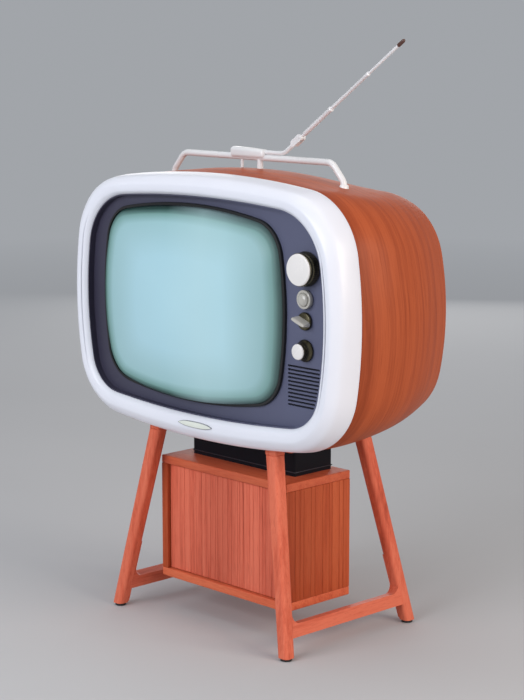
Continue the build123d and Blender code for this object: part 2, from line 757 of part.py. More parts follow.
with BuildPart() as channel_knob:
    with BuildSketch(turning_plane(*channel_at)):
        with BuildLine():
            Polyline((0, -124.2), (21.6, -124.2), (22.3, -125), (22.3, -128.6))
            ThreePointArc((22.3, -128.6), (21.4, -130.6), (19.2, -131.4))
            ThreePointArc((19.2, -131.4), (10, -132.4), (1, -132.7))
            Polyline((1, -132.7), (0, -132.7), (0, -124.2))
        make_face()
    revolve(axis=turning_axis(*channel_at))
    add(tuner_drum.part, mode=Mode.SUBTRACT)
finish(channel_knob, "channel_knob")

with BuildPart() as fine_tuning_ring:
    with BuildSketch(turning_plane(*channel_at)):
        Polygon((3.1, -102), (4.8, -102), (4.8, knob_back_y), (21.8, knob_back_y), (23, -115),
                (22, -122.6), (21, -123.6), (3.1, -123.6), align=None)
    revolve(axis=turning_axis(*channel_at))
finish(fine_tuning_ring, "fine_tuning_ring")


def pot_shaft(x, z):
    """Control shaft from the knob into its potentiometer."""
    with BuildPart() as shaft:
        with BuildSketch(facing_front(x, pot_shaft_end_y, z)):
            Circle(shaft_radius)
        extrude(amount=pot_shaft_end_y - knob_back_y)
    return shaft.part


with BuildPart() as contrast_knob:
    with BuildSketch(turning_plane(*contrast_at)):
        with BuildLine():
            Polyline((0, knob_back_y), (12.4, knob_back_y), (12.6, -117.5), (11.6, -119.4),
                     (9.2, -119.4), (9.0, -118.6), (8.4, -118.6), (8.4, -120))
            ThreePointArc((8.4, -120), (5, -122.4), (1, -123.1))
            Polyline((1, -123.1), (0, -123.1), (0, knob_back_y))
        make_face()
    revolve(axis=turning_axis(*contrast_at))
    add(pot_shaft(*contrast_at))
finish(contrast_knob, "contrast_knob")

with BuildPart() as tone_knob_base:
    with BuildSketch(turning_plane(*tone_at)):
        Polygon((0, knob_back_y), (12, knob_back_y), (12, -115.5), (10.6, -117), (0, -117),
                align=None)
    revolve(axis=turning_axis(*tone_at))
    add(pot_shaft(*tone_at))
finish(tone_knob_base, "tone_knob_base")

with BuildPart() as tone_knob_bar:
    bar_plane = Plane(origin=(tone_at[0], -117, tone_at[1]), z_dir=(0, -1, 0),
                      x_dir=(cos(radians(tone_bar_angle)), 0, sin(radians(tone_bar_angle))))
    with BuildSketch(bar_plane):
        SlotOverall(25.5, 9)
    with BuildSketch(bar_plane.offset(12)):
        SlotOverall(24, 5.5)
    loft()
    fillet(tone_knob_bar.faces().sort_by(Axis.Y)[0].edges(), 1.2)
finish(tone_knob_bar, "tone_knob_bar")

with BuildPart() as volume_knob_skirt:
    with BuildSketch(turning_plane(*volume_at)):
        with BuildLine():
            Polyline((0, knob_back_y), (14.8, knob_back_y), (14.8, -114.6))
            ThreePointArc((14.8, -114.6), (12.4, -117.5), (11.4, -121.5))
            Polyline((11.4, -121.5), (0, -121.5), (0, knob_back_y))
        make_face()
    revolve(axis=turning_axis(*volume_at))
    add(pot_shaft(*volume_at))
finish(volume_knob_skirt, "volume_knob_skirt")

with BuildPart() as volume_knob_cap:
    with BuildSketch(turning_plane(*volume_at)):
        with BuildLine():
            Polyline((0, -121.5), (10.8, -121.5), (11, -126.4))
            ThreePointArc((11, -126.4), (10.2, -128.2), (8.4, -128.9))
            ThreePointArc((8.4, -128.9), (4, -129.4), (1, -129.5))
            Polyline((1, -129.5), (0, -129.5), (0, -121.5))
        make_face()
    revolve(axis=turning_axis(*volume_at))
finish(volume_knob_cap, "volume_knob_cap")

with BuildPart() as control_pots:
    for x, z in (contrast_at, tone_at, volume_at):
        with BuildSketch(facing_front(x, -94, z)):
            Circle(11)
        extrude(amount=-94 - mask_back_y)
        with BuildSketch(facing_front(x, pot_shaft_end_y + 0.5, z)):
            Circle(shaft_radius + shaft_clearance)
        extrude(amount=20, mode=Mode.SUBTRACT)
finish(control_pots, "control_pots")

# ------------------------------------------------------------ handle and aerial

with BuildPart() as handle_bar:
    with BuildLine():
        FilletPolyline((-handle_foot_x, handle_y, handle_foot_z),
                       (-handle_foot_x, handle_y, handle_knee_z),
                       (-handle_bend_x, handle_y, handle_bar_z),
                       (handle_bend_x, handle_y, handle_bar_z),
                       (handle_foot_x, handle_y, handle_knee_z),
                       (handle_foot_x, handle_y, handle_foot_z), radius=handle_bend_radius)
    with BuildSketch(Plane((-handle_foot_x, handle_y, handle_foot_z))):
        Circle(handle_tube_radius)
    sweep()
    add(shell_body, mode=Mode.SUBTRACT)
    with Locations((-handle_foot_x, handle_y, handle_foot_z),
                   (handle_foot_x, handle_y, handle_foot_z)):
        Cylinder(handle_screw_radius, handle_screw_end_z - handle_foot_z + 1,
                 align=(Align.CENTER, Align.CENTER, Align.MIN), mode=Mode.SUBTRACT)
finish(handle_bar, "handle_bar")

with BuildPart() as handle_ferrules:
    for side in (-1, 1):
        with BuildSketch(Plane((side * handle_foot_x, handle_y, handle_foot_z))):
            Circle(7.4)
        extrude(amount=15, taper=8)
    add(shell_body, mode=Mode.SUBTRACT)
    for side in (-1, 1):
        with Locations((side * handle_foot_x, handle_y, handle_foot_z)):
            Cylinder(handle_screw_radius, 40, mode=Mode.SUBTRACT)
    add(handle_bar.part, mode=Mode.SUBTRACT)
finish(handle_ferrules, "handle_ferrules")

with BuildPart() as cabinet_screws:
    # Four hold the picture tube's band to the baffle.
    with BuildSketch(facing_front(tube_x, baffle_back_y + 2.5, tube_z)):
        with Locations(*lug_centres):
            Circle(2.5)
    extrude(amount=2.5)
    with BuildSketch(facing_front(tube_x, baffle_back_y + 2.5, tube_z)):
        with Locations(*lug_centres):
            RegularPolygon(5, 6)
    extrude(amount=-3.5)
    # Eight hold the rear cover.
    with BuildSketch(facing_front(0, cover_y + cover_thickness, 0)):
        with Locations(*cover_screws_at):
            Circle(1.6)
    extrude(amount=cover_thickness)
    with BuildSketch(facing_front(0, cover_y + cover_thickness, 0)):
        with Locations(*cover_screws_at):
            Circle(3.2)
    extrude(amount=-1.6)
    # Two come up through the cabinet's top into the handle's ends.
    for side in (-1, 1):
        with BuildSketch(Plane((side * handle_foot_x, handle_y, handle_screw_z))):
            Circle(5)
        extrude(amount=3)
        with BuildSketch(Plane((side * handle_foot_x, handle_y, handle_screw_z))):
            Circle(handle_screw_radius)
        extrude(amount=handle_screw_end_z - handle_screw_z)
finish(cabinet_screws, "cabinet_screws")

with BuildPart() as aerial_block:
    with Locations((sum(block_x) / 2, handle_y, sum(block_z) / 2)):
        Box(block_x[1] - block_x[0], block_depth, block_z[1] - block_z[0])
    fillet(aerial_block.edges().filter_by(Axis.X).group_by(Axis.Z)[-1], 6)
    fillet(aerial_block.edges().filter_by(Axis.X).group_by(Axis.Z)[0], 2)
    fillet(aerial_block.faces().filter_by(Axis.X).edges(), 1.6)
    for x, radius in posts:
        with BuildSketch(Plane((x, handle_y, 635))):
            Circle(radius)
        extrude(amount=block_z[0] + 2 - 635)
    with BuildSketch(Plane(origin=(spigot_x, handle_y, arm_z), z_dir=(1, 0, 0))):
        Circle(arm_spigot_radius + rod_clearance)
    extrude(amount=60, mode=Mode.SUBTRACT)
    add(shell_body, mode=Mode.SUBTRACT)
    add(handle_bar.part, mode=Mode.SUBTRACT)
finish(aerial_block, "aerial_block")

with BuildPart() as aerial_arm:
    arm_start = (block_x[1] + 0.5, handle_y, arm_z)
    arm_end = (elbow[0] - 11 * cos(arm_slope), handle_y, elbow[1] - 11 * sin(arm_slope))
    with BuildLine():
        FilletPolyline(arm_start, (arm_bend_x, handle_y, arm_z), arm_end, radius=24)
    with BuildSketch(Plane(origin=arm_start, z_dir=(1, 0, 0))):
        Circle(arm_radius)
    sweep()
    with BuildSketch(Plane(origin=(spigot_x + 0.5, handle_y, arm_z), z_dir=(1, 0, 0))):
        Circle(arm_spigot_radius)
    extrude(amount=block_x[1] - spigot_x)
    with BuildSketch(facing_front(elbow[0], handle_y + knuckle_depth / 2, elbow[1])):
        with Locations((-7 * cos(arm_slope), -7 * sin(arm_slope))):
            SlotCenterToCenter(14, 2 * knuckle_radius, rotation=degrees(arm_slope))
    extrude(amount=knuckle_depth)
    with BuildSketch(facing_front(elbow[0], handle_y + tongue_depth / 2 + 0.1, elbow[1])):
        Circle(knuckle_radius + 2.2)
    extrude(amount=tongue_depth + 0.2, mode=Mode.SUBTRACT)
    with BuildSketch(facing_front(elbow[0], handle_y + knuckle_depth / 2 + 0.6, elbow[1])):
        Circle(pivot_radius)
    extrude(amount=knuckle_depth + 1.2)
finish(aerial_arm, "aerial_arm")

with BuildPart() as aerial_base_tube:
    with BuildSketch(facing_front(elbow[0], handle_y + tongue_depth / 2, elbow[1])):
        Circle(knuckle_radius - 0.3)
    extrude(amount=tongue_depth)
    add(rod_piece(2, base_start + 1, tongue_depth / 2 - 0.05))
    add(rod_piece(base_start, section_ends[0], section_radii[0]))
    add(rod_piece(base_start + 1.6, section_ends[0] + 1, section_radii[1] + rod_clearance),
        mode=Mode.SUBTRACT)
    with BuildSketch(facing_front(elbow[0], handle_y + tongue_depth, elbow[1])):
        Circle(pivot_radius + rod_clearance)
    extrude(amount=2 * tongue_depth, mode=Mode.SUBTRACT)
finish(aerial_base_tube, "aerial_base_tube")

with BuildPart() as aerial_middle_tube:
    add(rod_piece(section_ends[0] - section_overlap, section_ends[1], section_radii[1]))
    add(rod_piece(section_ends[0] - section_overlap + 4, section_ends[1] + 1,
                  section_radii[2] + rod_clearance), mode=Mode.SUBTRACT)
finish(aerial_middle_tube, "aerial_middle_tube")

with BuildPart() as aerial_end_rod:
    add(rod_piece(section_ends[1] - section_overlap, section_ends[2], section_radii[2]))
finish(aerial_end_rod, "aerial_end_rod")

with BuildPart() as aerial_tip:
    add(rod_piece(section_ends[2], rod_length, 2.6))
    fillet(aerial_tip.edges().sort_by(Axis.X)[-1], 1.2)
finish(aerial_tip, "aerial_tip")

# ------------------------------------------------------------ plinth and storage box

with BuildPart() as plinth_case:
    with BuildSketch(Plane((0, sum(plinth_y) / 2, box_top_z))):
        RectangleRounded(2 * plinth_half_width, plinth_y[1] - plinth_y[0], 3)
    extrude(amount=60)
    with BuildSketch(Plane((0, sum(plinth_y) / 2, box_top_z + plinth_wall))):
        Rectangle(2 * (plinth_half_width - plinth_wall), plinth_y[1] - plinth_y[0] - 2 * plinth_wall)
    extrude(amount=60, mode=Mode.SUBTRACT)
    add(shell_body, mode=Mode.SUBTRACT)
    with GridLocations(2 * hanger_x, hanger_y[1] - hanger_y[0], 2, 2):
        with Locations((0, sum(hanger_y) / 2, box_top_z)):
            Cylinder(bolt_radius, 20, mode=Mode.SUBTRACT)
finish(plinth_case, "plinth_case")

with BuildPart() as stand_bolts:
    # Four hang the box and the plinth from the cabinet's floor.
    with Locations((0, sum(hanger_y) / 2, 0)):
        with GridLocations(2 * hanger_x, hanger_y[1] - hanger_y[0], 2, 2):
            with Locations((0, 0, box_top_z - board)):
                Cylinder(bolt_radius, 85, align=(Align.CENTER, Align.CENTER, Align.MIN))
                Cylinder(6, 3, align=(Align.CENTER, Align.CENTER, Align.MAX))
    # One stud screws each leg to its plate.
    for side in (-1, 1):
        for top_x, top_y, top_z, _ in leg_tops:
            with BuildSketch(Plane((side * top_x, top_y, top_z - stud_depth))):
                Circle(bolt_radius)
            extrude(amount=stud_depth + plate_thickness)
finish(stand_bolts, "stand_bolts")

with BuildPart() as box_top_board:
    with Locations((0, (box_front_y + box_back_y) / 2, box_top_z)):
        Box(2 * box_half_width, box_back_y - box_front_y, board,
            align=(Align.CENTER, Align.CENTER, Align.MAX))
    chamfer(box_top_board.edges().group_by(Axis.Z)[-1], 1)
    with Locations((0, sum(hanger_y) / 2, box_top_z)):
        with GridLocations(2 * hanger_x, hanger_y[1] - hanger_y[0], 2, 2):
            Cylinder(bolt_radius, 40, mode=Mode.SUBTRACT)
    with Locations((pivot_at[0], pivot_at[1], box_top_z - board)):
        Cylinder(pin_radius, 12, mode=Mode.SUBTRACT)
finish(box_top_board, "box_top_board")

with BuildPart() as box_bottom_board:
    with Locations((0, (box_front_y + box_back_y) / 2, box_bottom_z)):
        Box(2 * box_half_width, box_back_y - box_front_y, board,
            align=(Align.CENTER, Align.CENTER, Align.MIN))
    with Locations((pivot_at[0], pivot_at[1], box_bottom_z + board)):
        Cylinder(pin_radius, 12, mode=Mode.SUBTRACT)
finish(box_bottom_board, "box_bottom_board")

side_height = box_top_z - box_bottom_z - 2 * board

with BuildPart() as box_sides:
    for side in (-1, 1):
        with Locations((side * (box_half_width - board / 2), (box_front_y + box_back_y) / 2,
                        box_bottom_z + board)):
            Box(board, box_back_y - box_front_y, side_height,
                align=(Align.CENTER, Align.CENTER, Align.MIN))
finish(box_sides, "box_sides")

with BuildPart() as box_back_panel:
    with Locations((0, box_back_y, box_bottom_z + board)):
        Box(2 * (box_half_width - board), 6, side_height,
            align=(Align.CENTER, Align.MAX, Align.MIN))
finish(box_back_panel, "box_back_panel")

door_front_y = box_front_y + door_recess
door_left = -(box_half_width - board) + 1.5
door_right = box_half_width - board - door_gap
door_bottom = box_bottom_z + board + 1.5
door_top = box_top_z - board - 1.5

with BuildPart() as cabinet_door:
    with Locations(((door_left + door_right) / 2, door_front_y, (door_bottom + door_top) / 2)):
        Box(door_right - door_left, door_thickness, door_top - door_bottom,
            align=(Align.CENTER, Align.MIN, Align.CENTER))
    # Shallow grooves part the plain stile at the opening edge and the planks.
    with BuildSketch(facing_front(0, door_front_y, (door_bottom + door_top) / 2)):
        for groove_x in plank_edges(door_left + door_stile, door_right):
            with Locations((groove_x, 0)):
                Rectangle(1.2, door_top - door_bottom)
    extrude(amount=-1.2, mode=Mode.SUBTRACT)
    with Locations((*pivot_at, door_bottom), (*pivot_at, door_top)):
        Cylinder(pin_radius + 0.08, 30, mode=Mode.SUBTRACT)
finish(cabinet_door, "cabinet_door")

with BuildPart() as door_pins:
    for z, direction in ((box_bottom_z + board, 1), (box_top_z - board, -1)):
        with Locations((pivot_at[0], pivot_at[1], z + direction * 4)):
            Cylinder(pin_radius, 20)
finish(door_pins, "door_pins")
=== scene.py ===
"""Looks of the tube television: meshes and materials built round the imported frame."""
from math import atan2, cos, hypot, pi, radians, sin, sqrt

import bmesh
import bpy
import numpy as np
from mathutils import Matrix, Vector


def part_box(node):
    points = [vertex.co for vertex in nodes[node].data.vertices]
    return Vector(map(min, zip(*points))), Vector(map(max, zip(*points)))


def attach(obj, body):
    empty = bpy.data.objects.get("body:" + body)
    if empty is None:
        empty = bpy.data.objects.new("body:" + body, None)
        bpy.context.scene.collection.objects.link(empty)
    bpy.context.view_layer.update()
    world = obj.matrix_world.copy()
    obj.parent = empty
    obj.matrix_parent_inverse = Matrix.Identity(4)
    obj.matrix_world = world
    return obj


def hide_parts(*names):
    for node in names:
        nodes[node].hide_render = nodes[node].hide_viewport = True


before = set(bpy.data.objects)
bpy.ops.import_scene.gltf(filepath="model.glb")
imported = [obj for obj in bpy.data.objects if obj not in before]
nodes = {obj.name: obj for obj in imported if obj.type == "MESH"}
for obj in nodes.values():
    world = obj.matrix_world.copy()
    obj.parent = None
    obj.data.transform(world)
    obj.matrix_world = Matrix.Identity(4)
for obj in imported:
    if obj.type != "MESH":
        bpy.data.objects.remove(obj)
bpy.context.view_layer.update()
MM = 0.001


def corners(node):
    """A node's lowest and highest corners, in millimetres."""
    low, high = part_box(node)
    return np.array(low) / MM, np.array(high) / MM


# -------------------- sizes from the frame

bezel_low, bezel_high = corners("front_bezel")
glass_low, glass_high = corners("crt_faceplate")
cabinet_z = (bezel_low[2] + bezel_high[2]) / 2
seam_y = bezel_high[1]                  # bezel meets shell
rear_y = corners("cabinet_shell")[1][1]
screen_at = ((glass_low[0] + glass_high[0]) / 2, (glass_low[2] + glass_high[2]) / 2)
crown_y = glass_low[1]
mask_front_y = -111.8                   # where the bezel's opening meets the mask
knob_foot_y = -113.2                    # rear faces of the knob parts next to the mask
rear_ledge_y = 99.0                     # step that the rear cover rests on
inner_wall = 6.0                        # thickness of the bezel round its opening

# Outlines: half width, half height, radius of the top and bottom arcs, radius
# of the side arcs, radius of the upper corners and of the lower corners. Each
# section of the shell has its depth first.
shell_sections = (
    (seam_y, 272.6, 185.3, 1433.0, 577.0, 97.8, 97.8),
    (-45.8, 285.1, 188.7, 1050.0, 520.0, 97.0, 97.0),
    (4.2, 287.1, 187.9, 850.0, 465.0, 97.8, 97.8),
    (57.2, 272.5, 174.9, 1300.0, 415.0, 103.4, 103.4),
    (rear_y, 253.4, 155.8, 3000.0, 373.0, 90.1, 90.1),
)
wall = 12.0
bezel_outline = (274.1, 186.8, 1433.0, 577.0, 98.8, 98.8)
opening_outline = (240.3, 152.3, 1800.0, 482.0, 85.0, 59.0)
opening_z = 463.0
glass_outline = (182.3, 134.6, 760.0, 460.0, 51.0, 51.0)
dome_radius = 750.0


# -------------------- geometry helpers

def quarter_ring(outline, corner_radius):
    """Upper right quarter of an outline, clockwise from the top middle."""
    top_steps = 22
    corner_steps = 22
    side_steps = 18
    half_width, half_height, top_radius, side_radius = outline[:4]
    x = half_width - corner_radius
    z = half_height - corner_radius
    settling_rounds = 40
    for _ in range(settling_rounds):
        x = half_width - side_radius + sqrt((side_radius - corner_radius)**2 - z * z)
        z = half_height - top_radius + sqrt((top_radius - corner_radius)**2 - x * x)
    top_angle = atan2(x, z - half_height + top_radius)
    side_angle = atan2(z, x - half_width + side_radius)
    quarter = []
    for k in range(top_steps):
        angle = top_angle * k / top_steps
        quarter.append((top_radius * sin(angle),
                        half_height - top_radius + top_radius * cos(angle)))
    sweep = pi / 2 - side_angle - top_angle
    for k in range(corner_steps):
        angle = top_angle + sweep * k / corner_steps
        quarter.append((x + corner_radius * sin(angle), z + corner_radius * cos(angle)))
    for k in range(side_steps + 1):
        angle = side_angle * (1 - k / side_steps)
        quarter.append((half_width - side_radius + side_radius * cos(angle),
                        side_radius * sin(angle)))
    return np.array(quarter)


def ring(outline):
    """Points of a bowed, round-cornered outline, clockwise from the bottom middle."""
    upper = quarter_ring(outline, outline[4])
    lower = quarter_ring(outline, outline[5])
    lower_right = lower[::-1][1:] * (1, -1)
    lower_left = lower[1:] * (-1, -1)
    upper_left = upper[::-1][1:-1] * (-1, 1)
    loop = np.vstack([upper, lower_right, lower_left, upper_left])
    return np.roll(loop, len(loop) // 2, axis=0)


def mixed(inner, outer, share):
    """Outline part of the way from inner to outer."""
    return tuple(a + (b - a) * share for a, b in zip(inner, outer))


def grown(outline, amount):
    """Outline moved outwards by an amount, or inwards if it is negative."""
    return tuple(size + amount for size in outline)


def upright(points, y, centre=(0.0, cabinet_z)):
    """Ring points placed at depth y, as vertices in metres."""
    depth = np.broadcast_to(y, len(points))
    return np.column_stack([points[:, 0] + centre[0], depth, points[:, 1] + centre[1]]) * MM


def loft_faces(rows, columns):
    """Quads between closed rows of points laid out one after another."""
    faces = []
    for row in range(rows - 1):
        for k in range(columns):
            a = row * columns + k
            b = row * columns + (k + 1) % columns
            faces.append((a, b, b + columns, a + columns))
    return faces


def capped_faces(rows, columns):
    """Quads between rows, and a flat face over the first and the last row."""
    last = (rows - 1) * columns
    return loft_faces(rows, columns) + [tuple(range(columns)), tuple(range(last, last + columns))]


def joined(*parts):
    """Vertices and faces of several meshes put together as one."""
    vertices = []
    faces = []
    for more_vertices, more_faces in parts:
        faces += [tuple(i + len(vertices) for i in face) for face in more_faces]
        vertices += list(more_vertices)
    return vertices, faces


def place_piece(name, mesh, body, material, sharp_angle, replaced=()):
    """Object of a mesh that rides on a body and stands for the named nodes."""
    mesh.polygons.foreach_set("use_smooth", [True] * len(mesh.polygons))
    mesh.set_sharp_from_angle(angle=radians(sharp_angle))
    mesh.materials.append(material)
    piece = bpy.data.objects.new(name, mesh)
    bpy.context.scene.collection.objects.link(piece)
    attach(piece, body)
    if replaced:
        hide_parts(*replaced)
    return piece


def make_piece(name, vertices, faces, body, material, sharp_angle, replaced=()):
    """Piece made from vertices and faces, with its normals facing outwards."""
    mesh = bpy.data.meshes.new(name)
    mesh.from_pydata([tuple(v) for v in vertices], [], [tuple(f) for f in faces])
    mesh.validate()
    cleaner = bmesh.new()
    cleaner.from_mesh(mesh)
    bmesh.ops.recalc_face_normals(cleaner, faces=cleaner.faces)
    cleaner.to_mesh(mesh)
    cleaner.free()
    return place_piece(name, mesh, body, material, sharp_angle, replaced)


def built_piece(name, builder, body, material, sharp_angle, replaced=()):
    """Piece made from a bmesh in millimetres, which is used up."""
    for vertex in builder.verts:
        vertex.co *= MM
    mesh = bpy.data.meshes.new(name)
    builder.to_mesh(mesh)
    builder.free()
    return place_piece(name, mesh, body, material, sharp_angle, replaced)


def point_attribute(piece, name, values):
    """Stores one vector for every vertex, for the material to read."""
    layer = piece.data.attributes.new(name, "FLOAT_VECTOR", "POINT")
    layer.data.foreach_set("vector", np.asarray(values, dtype=float).ravel())


def lathe_mesh(profile, centre, segments=96, flutes=0, flute_depth=0.0, fluted=()):
    """Vertices and faces of a profile of (radius, y) turned about a front-to-back line."""
    x0, z0 = centre
    vertices = []
    for row, (radius, y) in enumerate(profile):
        for k in range(segments):
            angle = 2 * pi * k / segments
            r = radius
            if flutes and row in fluted:
                r -= flute_depth * (0.5 - 0.5 * cos(flutes * angle))**2
            vertices.append(((x0 + r * cos(angle)) * MM, y * MM, (z0 + r * sin(angle)) * MM))
    return vertices, capped_faces(len(profile), segments)


def lathe(name, profile, centre, body, material, replaced=(), **options):
    """Piece turned about a front-to-back line; options go to lathe_mesh."""
    return make_piece(name, *lathe_mesh(profile, centre, **options), body, material, 50, replaced)


def arc(centre, radius, start, end, steps=6):
    """Points (radius, y) along a rounding, with angles in degrees."""
    angles = [radians(start + (end - start) * k / steps) for k in range(steps + 1)]
    return [(centre[0] + radius * cos(a), centre[1] + radius * sin(a)) for a in angles]


def tube_mesh(path, radii, segments=28):
    """Vertices and faces of a round bar along a path, in millimetres."""
    points = [Vector(p) for p in path]
    vertices = []
    side = Vector((0, 1, 0))
    for k, point in enumerate(points):
        ahead = points[min(k + 1, len(points) - 1)] - points[max(k - 1, 0)]
        ahead.normalize()
        across = (side - ahead * side.dot(ahead)).normalized()
        up = ahead.cross(across)
        radius = radii[k] if hasattr(radii, "__len__") else radii
        for s in range(segments):
            angle = 2 * pi * s / segments
            vertices.append((point + across * radius * cos(angle) + up * radius * sin(angle)) * MM)
    return vertices, capped_faces(len(points), segments)


def filleted_path(points, radius):
    """Polyline with its inner corners rounded."""
    steps = 10
    points = [Vector(p) for p in points]
    path = [points[0]]
    for before, corner, after in zip(points, points[1:], points[2:]):
        back = (before - corner).normalized()
        on = (after - corner).normalized()
        half = back.angle(on) / 2
        reach = min(radius / max(sin(half), 0.01) * cos(half),
                    (before - corner).length * 0.49, (after - corner).length * 0.49)
        start = corner + back * reach
        end = corner + on * reach
        for k in range(steps + 1):
            t = k / steps
            path.append(start * (1 - t)**2 + corner * 2 * t * (1 - t) + end * t * t)
    path.append(points[-1])
    return path


def add_rounded_box(builder, low, high, radius, segments=3):
    """Adds a box with rounded edges, in millimetres, to a bmesh."""
    made = bmesh.ops.create_cube(builder, size=1.0)
    low = Vector(low)
    high = Vector(high)
    size = high - low
    middle = (high + low) / 2
    for vertex in made["verts"]:
        vertex.co = Vector((vertex.co.x * size.x, vertex.co.y * size.y,
                            vertex.co.z * size.z)) + middle
    edges = list({edge for vertex in made["verts"] for edge in vertex.link_edges})
    bmesh.ops.bevel(builder, geom=edges, offset=radius, segments=segments, profile=0.5,
                    affect="EDGES")


def boxes_piece(name, boxes, radius, body, material, replaced=()):
    """One piece of several rounded boxes; each box carries its own tone."""
    builder = bmesh.new()
    tones = []
    for number, (low, high) in enumerate(boxes):
        before = len(builder.verts)
        add_rounded_box(builder, low, high, radius)
        builder.verts.ensure_lookup_table()
        tone = 0.5 + 0.5 * sin(12.9898 * (number + 1) + len(name))
        shift = 311.7 * sin(78.233 * (number + 1) + len(name))
        tones += [(tone, shift, number)] * (len(builder.verts) - before)
    piece = built_piece(name, builder, body, material, 35, replaced)
    point_attribute(piece, "plank", tones)
    return piece


# -------------------- material helpers

def srgb(red, green, blue):
    """Linear colour from 0-255 display values."""
    def linear(value):
        value /= 255
        return value / 12.92 if value <= 0.04045 else ((value + 0.055) / 1.055)**2.4
    return (linear(red), linear(green), linear(blue), 1.0)


class Shader:
    """A node material with short calls for the nodes used here."""

    def __init__(self, name, roughness=0.5, metallic=0.0, coat=0.0, coat_roughness=0.1):
        self.material = bpy.data.materials.new(name)
        self.material.use_nodes = True
        self.tree = self.material.node_tree
        self.principled = self.tree.nodes["Principled BSDF"]
        self.set("Roughness", roughness)
        self.set("Metallic", metallic)
        self.set("Coat Weight", coat)
        self.set("Coat Roughness", coat_roughness)

    def put(self, socket, value):
        if hasattr(value, "is_linked"):
            self.tree.links.new(value, socket)
        else:
            socket.default_value = value

    def set(self, name, value):
        self.put(self.principled.inputs[name], value)

    def node(self, kind, **settings):
        made = self.tree.nodes.new(kind)
        for key, value in settings.items():
            setattr(made, key, value)
        return made

    def place(self):
        return self.node("ShaderNodeTexCoord").outputs["Object"]

    def attribute(self, name):
        return self.node("ShaderNodeAttribute", attribute_name=name).outputs["Vector"]

    def stretch(self, vector, scale, shift=(0, 0, 0)):
        made = self.node("ShaderNodeMapping")
        self.put(made.inputs["Vector"], vector)
        made.inputs["Scale"].default_value = scale
        self.put(made.inputs["Location"], shift)
        return made.outputs["Vector"]

    def noise(self, vector, scale, detail=4.0, roughness=0.55, distortion=0.0):
        made = self.node("ShaderNodeTexNoise")
        self.put(made.inputs["Vector"], vector)
        made.inputs["Scale"].default_value = scale
        made.inputs["Detail"].default_value = detail
        made.inputs["Roughness"].default_value = roughness
        made.inputs["Distortion"].default_value = distortion
        return made.outputs["Fac"]

    def ramp(self, value, *stops):
        made = self.node("ShaderNodeValToRGB")
        self.put(made.inputs["Fac"], value)
        elements = made.color_ramp.elements
        while len(elements) < len(stops):
            elements.new(0.5)
        for element, (position, colour) in zip(elements, stops):
            element.position = position
            element.color = colour if hasattr(colour, "__len__") else (colour,) * 3 + (1,)
        return made.outputs["Color"]

    def sum(self, *parts):
        """Weighted sum of (value, weight) pairs."""
        total = None
        for value, weight in parts:
            made = self.node("ShaderNodeMath", operation="MULTIPLY_ADD")
            self.put(made.inputs[0], value)
            self.put(made.inputs[1], weight)
            self.put(made.inputs[2], total if total is not None else 0.0)
            total = made.outputs[0]
        return total

    def maths(self, operation, first, second=0.0):
        made = self.node("ShaderNodeMath", operation=operation)
        self.put(made.inputs[0], first)
        self.put(made.inputs[1], second)
        return made.outputs[0]

    def mix(self, factor, first, second, blend="MIX"):
        made = self.node("ShaderNodeMix", data_type="RGBA", blend_type=blend)
        self.put(made.inputs["Factor"], factor)
        self.put(made.inputs[6], first)
        self.put(made.inputs[7], second)
        return made.outputs[2]

    def part(self, vector, axis):
        made = self.node("ShaderNodeSeparateXYZ")
        self.put(made.inputs[0], vector)
        return made.outputs[axis]

    def bump(self, height, distance, strength=1.0):
        made = self.node("ShaderNodeBump")
        made.inputs["Strength"].default_value = strength
        made.inputs["Distance"].default_value = distance
        self.put(made.inputs["Height"], height)
        self.set("Normal", made.outputs["Normal"])

    def edge_wear(self, low, high):
        """1 on exposed edges, 0 elsewhere."""
        geometry = self.node("ShaderNodeNewGeometry")
        return self.ramp(geometry.outputs["Pointiness"], (low, 0.0), (high, 1.0))


def wood(name, dark, middle, light, stretch, coordinates="object", roughness=0.5, coat=0.04,
         planks=False):
    """Lacquered wood; stretch is small along the grain and large across it."""
    shader = Shader(name, coat=coat, coat_roughness=0.22)
    shader.set("Specular IOR Level", 0.16)
    base = shader.place() if coordinates == "object" else shader.attribute(coordinates)
    tone = None
    if planks:
        plank = shader.attribute("plank")
        tone = shader.part(plank, 0)
        offset = shader.node("ShaderNodeCombineXYZ")
        for axis in range(3):
            shader.put(offset.inputs[axis], shader.part(plank, 1))
        vector = shader.stretch(base, stretch, offset.outputs[0])
    else:
        vector = shader.stretch(base, stretch)
    broad = shader.noise(vector, 0.35, 3.0, 0.5, 0.4)
    streak = shader.noise(vector, 1.6, 6.0, 0.62, 0.3)
    fine = shader.noise(vector, 7.0, 5.0, 0.7)
    value = shader.sum((broad, 0.30), (streak, 0.40), (fine, 0.30))
    colour = shader.ramp(value, (0.34, dark), (0.46, middle), (0.56, light), (0.68, middle))
    pore_field = shader.noise(shader.stretch(base, tuple(s * 3.2 for s in stretch)), 4.0, 2.0, 0.5)
    pores = shader.ramp(pore_field, (0.60, 0.0), (0.70, 1.0))
    colour = shader.mix(shader.maths("MULTIPLY", pores, 0.35), colour, dark)
    if planks:
        colour = shader.mix(shader.maths("MULTIPLY", tone, 0.34), colour, dark)
    wear = shader.edge_wear(0.52, 0.66)
    colour = shader.mix(shader.maths("MULTIPLY", wear, 0.25), colour, light)
    shader.set("Base Color", colour)
    shader.set("Roughness", shader.sum((streak, 0.22), (pores, 0.12), (1.0, roughness - 0.1)))
    height = shader.sum((streak, 0.5), (fine, 0.25), (pores, -0.6))
    shader.bump(height, 0.00022, 0.55)
    return shader.material


